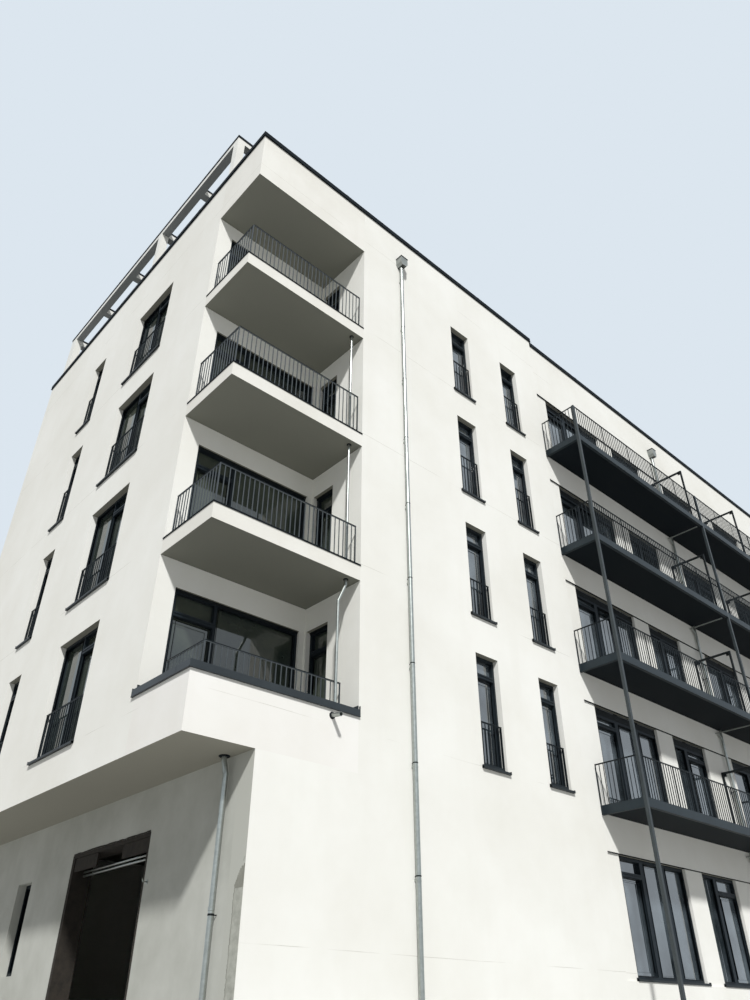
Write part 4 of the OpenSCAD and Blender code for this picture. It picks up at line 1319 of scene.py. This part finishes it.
@dataclass(frozen=True)
class BalconySteel:
    """Flanges, caps and base plates of the steel balconies, and the privacy frames' fixings."""

    left: float = 10045.0
    right: float = 29355.0
    height: float = 175.0
    post: float = 70.0
    flange: float = 78.0
    railing_height: float = 1000.0
    post_front: float = -999.0
    cap_half: float = 34.0
    cap_rear: float = -931.0
    cap_height: float = 6.0
    base_half: float = 80.0
    base_rear: float = -855.0
    base_height: float = 15.0
    bolt_offset: float = 58.0
    bolt_y: float = -885.0
    bolt_top: float = 40.0
    bolt_radius: float = 12.0
    privacy_places: tuple[float, ...] = (16205.0, 19700.0, 23195.0)
    privacy_height: float = 1800.0
    plate_half: float = 40.0
    plate_height: float = 10.0
    front_plate: Span = (-968.0, -905.0)
    rear_plate: Span = (68.0, 128.0)
    gusset_half: float = 5.0
    gusset_fronts: Span = (-914.0, -6.0)
    gusset_length: float = 80.0
    gusset_low: float = 120.0
    gusset_high: float = 50.0

    def channels(self) -> None:
        """Builds the toes of the channels' flanges, in lengths between the posts."""
        form = Form("channel_flanges", PAINTED_STEEL)
        half = self.post / 2.0
        for storey in UPPER_STOREYS:
            top = LEVELS.channel(storey)
            low = top - self.height
            for up in ((top, top + 6.0), (low - 8.0, low)):
                for start, end in zip(POSTS, POSTS[1:]):
                    along = (start + half, end - half)
                    form.plate(Facing.FRONT, CHANNEL_FRONT, along, (-self.flange, 0.0), up, 2.0)
                along = (CHANNEL_FRONT + self.post, BAND_FACE - 2.0)
                for face, side in ((self.left, 1.0), (self.right, -1.0)):
                    out = (-self.flange * side, 4.0 * side)
                    form.plate(Facing.SIDE, face, along, out, up, 2.0)
        form.done()

    def post_trim(self) -> None:
        """Builds the caps, the base plates and the bolts of the posts."""
        form = Form("post_caps_and_bases", POST_STEEL)
        top = LEVELS.channel(UPPER_STOREYS[-1]) + self.railing_height
        for post in POSTS:
            form.box(
                site(post - self.cap_half, self.post_front, top),
                site(post + self.cap_half, self.cap_rear, top + self.cap_height), 2.0,
            )
            form.box(
                site(post - self.base_half, self.post_front, 0.0),
                site(post + self.base_half, self.base_rear, self.base_height), 3.0,
            )
            for x in (post - self.bolt_offset, post + self.bolt_offset):
                low, high = (site(x, self.bolt_y, z) for z in (self.base_height, self.bolt_top))
                form.tube(low, high, self.bolt_radius, sides=6)
        form.done()

    def privacy(self) -> None:
        """Builds the corner gussets and foot plates of the privacy frames."""
        form = Form("privacy_frame_fixings", DARK_STEEL)
        for storey in UPPER_STOREYS:
            foot = LEVELS.channel(storey)
            high = foot + self.privacy_height
            rear_foot = max(LEVELS.floor(storey), foot - 80.0)
            for x in self.privacy_places:
                for plate, low in ((self.front_plate, foot), (self.rear_plate, rear_foot)):
                    form.box(
                        site(x - self.plate_half, plate[0], low),
                        site(x + self.plate_half, plate[1], low + self.plate_height), 2.0,
                    )
                for y in self.gusset_fronts:
                    form.box(
                        site(x - self.gusset_half, y, high - self.gusset_low),
                        site(x + self.gusset_half, y + self.gusset_length, high - self.gusset_high),
                    )
        form.done()

    def build(self) -> None:
        """Builds all steel trim."""
        self.channels()
        self.post_trim()
        self.privacy()


# rainwater

@dataclass(frozen=True)
class Pipe:
    """The place and the radius of an upright pipe."""

    x: float
    y: float
    radius: float

    def at(self, height: float, x_shift: float = 0.0, y_shift: float = 0.0) -> Vector:
        """Gives the middle of the pipe at a height, or a point beside it."""
        return site(self.x + x_shift, self.y + y_shift, height)

    def collar(self, form: Form, height: float, play: float, length: float) -> None:
        """Adds a collar round the pipe that stands out by its play."""
        form.collar(self.at(height), UP, self.radius + play, length)


@dataclass(frozen=True)
class Rainwater:
    """Sockets, clamps, bends, rims and rosettes of the rainwater pipes."""

    corner: Pipe = Pipe(4365.0, -80.0, 44.0)
    balcony: Pipe = Pipe(16568.0, 40.0, 36.0)
    recess: Pipe = Pipe(1115.0, 578.0, 39.0)
    # the loggias' drain above, and where it comes out in the lowest loggia
    loggia: Pipe = Pipe(2935.0, 145.0, 25.5)
    loggia_foot: Pipe = Pipe(2772.0, 145.0, 25.5)
    drain: float = 18.0
    hopper_tops: Span = (17030.0, 17200.0)
    rim_half: float = 122.0
    rim_out: Span = (0.0, 212.0)
    rim_drop: float = 20.0
    rim_rise: float = 6.0
    spigot_high: float = 310.0
    spigot_low: float = 390.0
    # how far a socket and a clamp stand out from the pipe, and their lengths along it
    socket: Span = (2.5, 42.0)
    clamp: Span = (3.5, 22.0)
    clamp_rise: float = 70.0
    screw_radius: float = 7.0
    heights: tuple[float, ...] = (
        16175.0, 14470.0, 12770.0, 11040.0, 9310.0, 7580.0, 5840.0, 4070.0, 2340.0
    )
    ceilings: tuple[float, ...] = (7190.0, 10290.0, 13390.0)
    # the recess pipe's offset under its rosette
    neck_x: float = -32.0
    neck_y: float = 28.0

    def hoppers(self) -> None:
        """Builds the beaded rims, dark as painted shade, and the spigots of the hoppers."""
        # the rims are dark steel to stand in for the shade along the hoppers' top edges
        rims = Form("hopper_rims_dark_as_shade", DARK_STEEL)
        spigots = Form("hopper_spigots", ZINC)
        for pipe, wall, top in (
            (self.corner, 0.0, self.hopper_tops[0]), (self.balcony, BAND_FACE, self.hopper_tops[1])
        ):
            rims.plate(
                Facing.FRONT, wall, (pipe.x - self.rim_half, pipe.x + self.rim_half), self.rim_out,
                (top - self.rim_drop, top + self.rim_rise), 5.0,
            )
            spigots.tube(
                pipe.at(top - self.spigot_high), pipe.at(top - self.spigot_low),
                pipe.radius + 7.0, pipe.radius + 2.0,
            )
        rims.done(smooth=True)
        spigots.done(smooth=True)

    def sockets(self) -> None:
        """Builds the pipe sockets."""
        form = Form("pipe_sockets", ZINC)
        for height in self.heights:
            self.corner.collar(form, height, *self.socket)
        self.balcony.collar(form, 900.0, *self.socket)
        for storey in UPPER_STOREYS:
            self.balcony.collar(form, LEVELS.channel(storey) + 700.0, *self.socket)
        self.recess.collar(form, 1756.0, 6.0, 60.0)
        self.recess.collar(form, 3490.0, 4.0, 40.0)
        form.done(smooth=True)

    def clamps(self) -> None:
        """Builds the pipe clamps with their screws."""
        form = Form("pipe_clamps", DARK_STEEL)
        for height in self.heights:
            level = height + self.clamp_rise
            self.corner.collar(form, level, *self.clamp)
            start, end = (site(self.corner.x, y, level) for y in (-36.0, -1.0))
            form.tube(start, end, self.screw_radius)
        for storey in UPPER_STOREYS:
            level = LEVELS.channel(storey) + 1350.0
            self.balcony.collar(form, level, *self.clamp)
            end = site(self.balcony.x, ROW_FACE - 1.0, level)
            form.tube(site(self.balcony.x, 74.0, level), end, self.screw_radius)
        level = 1690.0
        self.recess.collar(form, level, 4.0, 30.0)
        end = site(RECESS_FACE - 1.0, self.recess.y, level)
        form.tube(self.recess.at(level, x_shift=38.0), end, 8.0)
        form.done(smooth=True)

    def bends(self) -> None:
        """Builds the knuckles of the bent pipes and the branches from the balcony drains."""
        form = Form("pipe_bends", ZINC)
        neck = (self.neck_x, self.neck_y)
        form.bend(
            [
                self.recess.at(3745.0, *neck), self.recess.at(3706.0, *neck),
                self.recess.at(3516.0), self.recess.at(3470.0),
            ], self.recess.radius + 2.0,
        )
        form.bend(
            [
                self.loggia.at(7150.0), self.loggia.at(7080.0),
                self.loggia_foot.at(6708.0), self.loggia_foot.at(6640.0),
            ], self.loggia.radius + 1.5,
        )
        for storey in UPPER_STOREYS:
            height = LEVELS.channel(storey) - 265.0
            form.bend(
                [
                    site(16390.0, 60.0, height), site(16390.0, 30.0, height),
                    site(16450.0, 34.0, height - 60.0), self.balcony.at(height - 170.0),
                ], self.drain + 1.5,
            )
        form.done(smooth=True)

    def rosettes(self) -> None:
        """Builds the rosettes where pipes meet ceilings, decks and walls."""
        form = Form("pipe_rosettes", BLACK_SHEET)
        form.collar(self.recess.at(3758.0, self.neck_x, self.neck_y), UP, 86.0, 14.0)
        for ceiling in self.ceilings:
            form.collar(self.loggia.at(ceiling - 6.0), UP, 48.0, 12.0)
        form.collar(self.loggia_foot.at(4790.0), UP, 44.0, 10.0)
        for storey in (2, 3):
            form.collar(self.loggia.at(LEVELS.floor(storey) + 5.0), UP, 44.0, 10.0)
        form.collar(site(2599.0, -6.0, 4564.0), Vector((0.0, 1.0, 0.0)), 57.0, 12.0)
        form.done(smooth=True)

    def build(self) -> None:
        """Builds all rainwater trim."""
        for step in (self.hoppers, self.sockets, self.clamps, self.bends, self.rosettes):
            step()


# the roof

@dataclass(frozen=True)
class Copings:
    """Seams and drip lips of the copings, and the upturned ends of the parapet cap."""

    face: float = -30.0
    back: float = -38.0
    lip: float = 8.0
    lip_height: float = 14.0
    joint_half: float = 40.0
    joint_rise: float = 3.0
    front_joints: tuple[float, ...] = (2550.0, 5080.0, 7560.0)
    side_joints: tuple[float, ...] = (2900.0, 5300.0, 7700.0, 10100.0)
    section_joints: tuple[float, ...] = (
        12450.0, 14920.0, 17400.0, 19870.0, 22350.0, 24820.0, 27300.0
    )
    section_face: float = 70.0
    width: float = 424.0
    section_width: float = 470.0
    cap_low: float = 4665.0
    cap_top: float = 4785.0
    cap_front_end: float = 3176.0
    cap_side_end: float = 1687.0
    cap_depth: float = 360.0
    cap_lip: float = 12.0
    upturn: float = 70.0
    mitre: Span = (1540.0, 1620.0)
    beam_left: float = 93.5
    beam_right: float = 3621.5
    beam_front: float = 1606.5
    beam_rear: float = 11707.5
    beam_lip: float = 9.5
    beam_lip_low: float = 20004.0
    beam_lip_top: float = 20036.0
    beam_joint_low: float = 20030.0
    beam_joint_top: float = 20093.0
    beam_joint_width: float = 240.0
    # the feet of the pergola's posts: front and length in each row, left and foot in each column
    foot_rows: tuple[Span, ...] = ((1588.0, 270.0), (5535.2, 270.0), (11266.0, 460.0))
    foot_columns: tuple[Span, ...] = ((75.0, LEVELS.coping_top), (3370.0, LEVELS.roof_top))
    foot_width: float = 270.0
    foot_height: float = 12.0
    lap_pitch: float = 1000.0
    lap_width: float = 90.0

    def roof(self) -> None:
        """Builds the roof coping's drip lips and slip joints."""
        form = Form("coping_lips_and_joints", BLACK_SHEET)
        low = LEVELS.coping_low
        lip_top = low + self.lip_height
        front, side, back = Facing.FRONT, Facing.SIDE, self.back
        for facing, face, run, places, reach in (
            (front, self.face, (back, 9980.0), self.front_joints, self.width),
            (side, self.face, (back, 11995.0), self.side_joints, self.width),
            (
                front, self.section_face, (9984.0, 29462.0), self.section_joints,
                self.section_width,
            ),
        ):
            form.plate(facing, face, run, (0.0, self.lip), (low, lip_top), 2.0)
            for place in places:
                form.plate(
                    facing, face, (place - self.joint_half, place + self.joint_half),
                    (-reach, self.joint_rise), (lip_top, LEVELS.coping_top + self.joint_rise), 1.5,
                )
        form.done()

    def parapet(self) -> None:
        """Builds the parapet cap's lip, mitre strip and upturned ends."""
        form = Form("parapet_cap_trim", DARK_SHEET)
        low, high, front, side = self.cap_low, self.cap_top, Facing.FRONT, Facing.SIDE
        lip = (low, low + self.cap_lip)
        ends = ((front, self.cap_front_end, 60.0), (side, self.cap_side_end, 24.0))
        for facing, end, rise in ends:
            form.plate(facing, self.face, (self.back, end), (0.0, self.lip), lip, 2.0)
            form.plate(facing, 0.0, (end - 8.0, end), (0.0, 32.0), (low, high + rise), 2.0)
        depth, rim = self.cap_depth, high + self.upturn
        form.box(site(3140.0, 0.0, high), site(3159.0, depth, rim), 2.0)
        form.box(site(0.0, 1588.0, high), site(depth, 1604.0, rim), 2.0)
        form.plate(
            front, self.face, self.mitre, (self.face - depth, self.joint_rise),
            (lip[1], high + self.joint_rise), 1.5,
        )
        form.done()

    def pergola(self) -> None:
        """Builds the drip edges and joints of the pergola's coping and the feet of its posts."""
        form = Form("pergola_coping_joints", BLACK_SHEET)
        left, right, lip = self.beam_left, self.beam_right, self.beam_lip
        front, rear = self.beam_front, self.beam_rear
        for low, high in (
            ((left, front), (left + lip, rear)), ((right - lip, front), (right, rear)),
            ((left, front), (right, front + lip)), ((left, rear - lip), (right, rear)),
        ):
            form.box(site(*low, self.beam_lip_low), site(*high, self.beam_lip_top), 2.0)
        for y in (4800.0, 8300.0):
            for x in (90.0, 3385.0):
                form.box(
                    site(x, y - 30.0, self.beam_joint_low),
                    site(x + self.beam_joint_width, y + 30.0, self.beam_joint_top), 1.5,
                )
        form.done()
        feet = Form("pergola_post_feet", WHITE_PAINT)
        for y, length in self.foot_rows:
            for x, low in self.foot_columns:
                corner = site(x + self.foot_width, y + length, low + self.foot_height)
                feet.box(site(x, y, low), corner, 3.0)
        feet.done()

    def membrane(self) -> None:
        """Builds the laps of the flat roof's sheets."""
        form = Form("roof_sheet_laps", MEMBRANE)
        low = LEVELS.roof_top
        for index in range(1, 29):
            x = 360.0 + index * self.lap_pitch
            front = 362.0 if x < SECTION_START else 512.0
            form.box(site(x, front, low), site(x + self.lap_width, 11604.0, low + 5.0), 2.0)
        form.done()

    def build(self) -> None:
        """Builds all trim of the copings and the roof."""
        for step in (self.roof, self.parapet, self.pergola, self.membrane):
            step()


# the ground storey

@dataclass(frozen=True)
class GroundDamage:
    """The ragged lining of the gateway, its hook, and the bare patch on the corner."""

    seed: int = 11
    bite: float = 0.55
    strip_depth: Span = (4.0, 8.0)
    corner: float = 6.0
    patch_top: float = 2260.0
    patch_step: float = 26.0
    patch_change: float = 1990.0
    patch_taper: float = 240.0
    patch_width: float = 205.0
    patch_rim: float = 14.0
    ragged: float = 7.0
    spot: float = 12.0
    hook_radius: float = 9.0
    hook_y: float = 2640.0
    hook_z: float = 2310.0

    def torn_strip(self, form: Form, along: Span, up: Span, upright: bool, step: float) -> None:
        """Adds a thin strip on the recessed wall, torn along its far side or its top.

        Args:
            form: the piece it belongs to.
            along: start and end along the wall.
            up: start and end in height.
            upright: whether the strip runs upwards.
            step: distance between the tears.
        """
        dice = random.Random(self.seed + int(along[0] + up[0]))
        (start, end), (low, high) = (up, along) if upright else (along, up)
        count = int((end - start) / step)
        for index in range(count):
            first, last = (start + (end - start) * place / count for place in (index, index + 1))
            bite = dice.uniform(0.0, self.bite)
            run, width = (first, last), (low, low + (high - low) * (1.0 - bite))
            sides = (width, run) if upright else (run, width)
            out = (0.0, self.strip_depth[0] + bite * self.strip_depth[1])
            form.plate(Facing.SIDE, RECESS_FACE, sides[0], out, sides[1], 1.5)

    def patch(self) -> None:
        """Builds the patch of bare mortar: a point above, paler and rimmed below."""
        dark = Form("bare_mortar_patch", MORTAR)
        pale = Form("scraped_mortar_patch", SCRAPED_MORTAR)
        dice = random.Random(self.seed)
        step = self.patch_step
        for index in range(int(self.patch_top / step)):
            high = self.patch_top - index * step
            up = (high - step, high)
            share = min(1.0, index * step / self.patch_taper)
            edge = dice.uniform(-self.ragged, self.ragged)
            end = self.corner + (self.patch_width * (0.1 + 0.9 * share ** 0.6) + edge)
            if high > self.patch_change:
                dark.plate(Facing.SIDE, RECESS_FACE, (self.corner, end), (0.0, 3.5), up)
                continue
            rim = end - self.patch_rim
            dark.plate(Facing.SIDE, RECESS_FACE, (rim, end), (0.0, 3.5), up)
            pale.plate(Facing.SIDE, RECESS_FACE, (self.corner, rim), (0.0, 3.0), up)
        for reach in (36.0, 58.0, 75.0):
            low = self.patch_top + reach
            spot = dice.uniform(10.0, 40.0)
            dark.plate(
                Facing.SIDE, RECESS_FACE, (spot, spot + self.spot), (0.0, 3.0), (low, low + 11.0)
            )
        dark.done()
        pale.done()

    def hook(self) -> None:
        """Builds the hook beside the gateway."""
        form = Form("gate_hook", ZINC)
        y, z = self.hook_y, self.hook_z
        knee = site(1130.0, y, z)
        form.tube(site(RECESS_FACE - 1.0, y, z), knee, self.hook_radius)
        form.tube(knee, site(1118.0, y, z + 40.0), self.hook_radius)
        form.collar(site(1198.0, y, z), Vector((1.0, 0.0, 0.0)), 30.0, 10.0)
        form.done(smooth=True)

    def build(self) -> None:
        """Builds the torn lining edges, the mortar patch and the hook."""
        form = Form("torn_lining_edges", LINING)
        self.torn_strip(form, (5540.0, 5562.0), (200.0, 3040.0), True, 120.0)
        self.torn_strip(form, (2760.0, 5550.0), (3050.0, 3080.0), False, 130.0)
        form.done()
        self.patch()
        self.hook()


# the studio

@dataclass(frozen=True)
class Studio:
    """The camera, the pale floor and the plain soft light."""

    lens_mm: float = 28.09
    sensor_mm: float = 36.0
    yaw: float = 42.349
    pitch: float = 34.241
    roll: float = -0.026
    eye: tuple[float, float, float] = (-5091.5, -9452.7, 422.0)
    floor_half_m: float = 160.0
    floor_drop_m: float = 0.002
    towards_sun: tuple[float, float, float] = (-0.439, -0.587, 0.68)
    sun_energy: float = 3.5
    sun_angle: float = 4.0
    sun_colour: tuple[float, float, float] = (1.0, 0.985, 0.96)
    sky_colour: str = "EEF1F5"
    sky_strength: float = 0.31
    seen_sky: str = "DCE6EF"

    def camera(self) -> None:
        """Creates the camera at the photograph's viewing angle."""
        lens = bpy.data.cameras.new("view_camera")
        lens.lens = self.lens_mm
        lens.sensor_width = self.sensor_mm
        lens.sensor_fit = "AUTO"
        lens.clip_end = 500.0
        holder = bpy.data.objects.new("view_camera", lens)
        holder.location = site(*self.eye)
        turn = (90.0 + self.pitch, self.roll, -self.yaw)
        holder.rotation_euler = Euler([math.radians(angle) for angle in turn], "XYZ")
        bpy.context.scene.collection.objects.link(holder)
        bpy.context.scene.camera = holder

    def floor(self) -> None:
        """Builds the pale floor, which keeps the object's shadow."""
        mesh = bmesh.new()
        bmesh.ops.create_grid(
            mesh, x_segments=4, y_segments=4, size=self.floor_half_m,
            matrix=Matrix.Translation((0.0, 0.0, -self.floor_drop_m)),
        )
        data = bpy.data.meshes.new("studio_floor")
        mesh.to_mesh(data)
        mesh.free()
        data.materials.append(PALE_FLOOR.material())
        made = bpy.data.objects.new("studio_floor", data)
        bpy.context.scene.collection.objects.link(made)

    def sky(self) -> None:
        """Sets an even sky, which camera, gloss and glass see as a pale blue-grey."""
        world = bpy.data.worlds.new("studio_sky")
        bpy.context.scene.world = world
        world.use_nodes = True
        graph = world.node_tree
        graph.nodes.clear()
        even, seen = (
            add_node(graph, "Background", {"Color": linear(code), "Strength": strength})
            for code, strength in ((self.sky_colour, self.sky_strength), (self.seen_sky, 1.0))
        )
        rays = add_node(graph, "LightPath").outputs
        share = rays["Is Camera Ray"]
        for name in ("Is Glossy Ray", "Is Transmission Ray"):
            either = add_node(graph, "Math", {0: share, 1: rays[name]}, operation="MAXIMUM")
            share = either.outputs[0]
        mixed = add_node(
            graph, "MixShader",
            {0: share, 1: even.outputs["Background"], 2: seen.outputs["Background"]},
        )
        add_node(graph, "OutputWorld", {"Surface": mixed.outputs["Shader"]})

    def sun(self) -> None:
        """Sets one large soft sun."""
        lamp = bpy.data.lights.new("soft_sun", "SUN")
        lamp.energy = self.sun_energy
        lamp.angle = math.radians(self.sun_angle)
        lamp.color = self.sun_colour
        holder = bpy.data.objects.new("soft_sun", lamp)
        holder.rotation_euler = Vector(self.towards_sun).to_track_quat("Z", "Y").to_euler()
        bpy.context.scene.collection.objects.link(holder)

    def build(self) -> None:
        """Sets up the camera, the floor and the light."""
        for step in (self.camera, self.floor, self.sky, self.sun):
            step()
        bpy.context.scene.view_settings.view_transform = "Standard"


def main() -> None:
    """Builds the studio, the finishes and every sub-assembly."""
    logging.basicConfig(level=logging.INFO, format="%(message)s")
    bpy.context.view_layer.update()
    Studio().build()
    dress_nodes()
    for part in (
        Windows(), SillTrim(), RailTrim(), BalconySteel(), Rainwater(), Copings(), GroundDamage(),
    ):
        LOG.info("building %s", type(part).__name__)
        part.build()


if __name__ == "__main__":
    main()
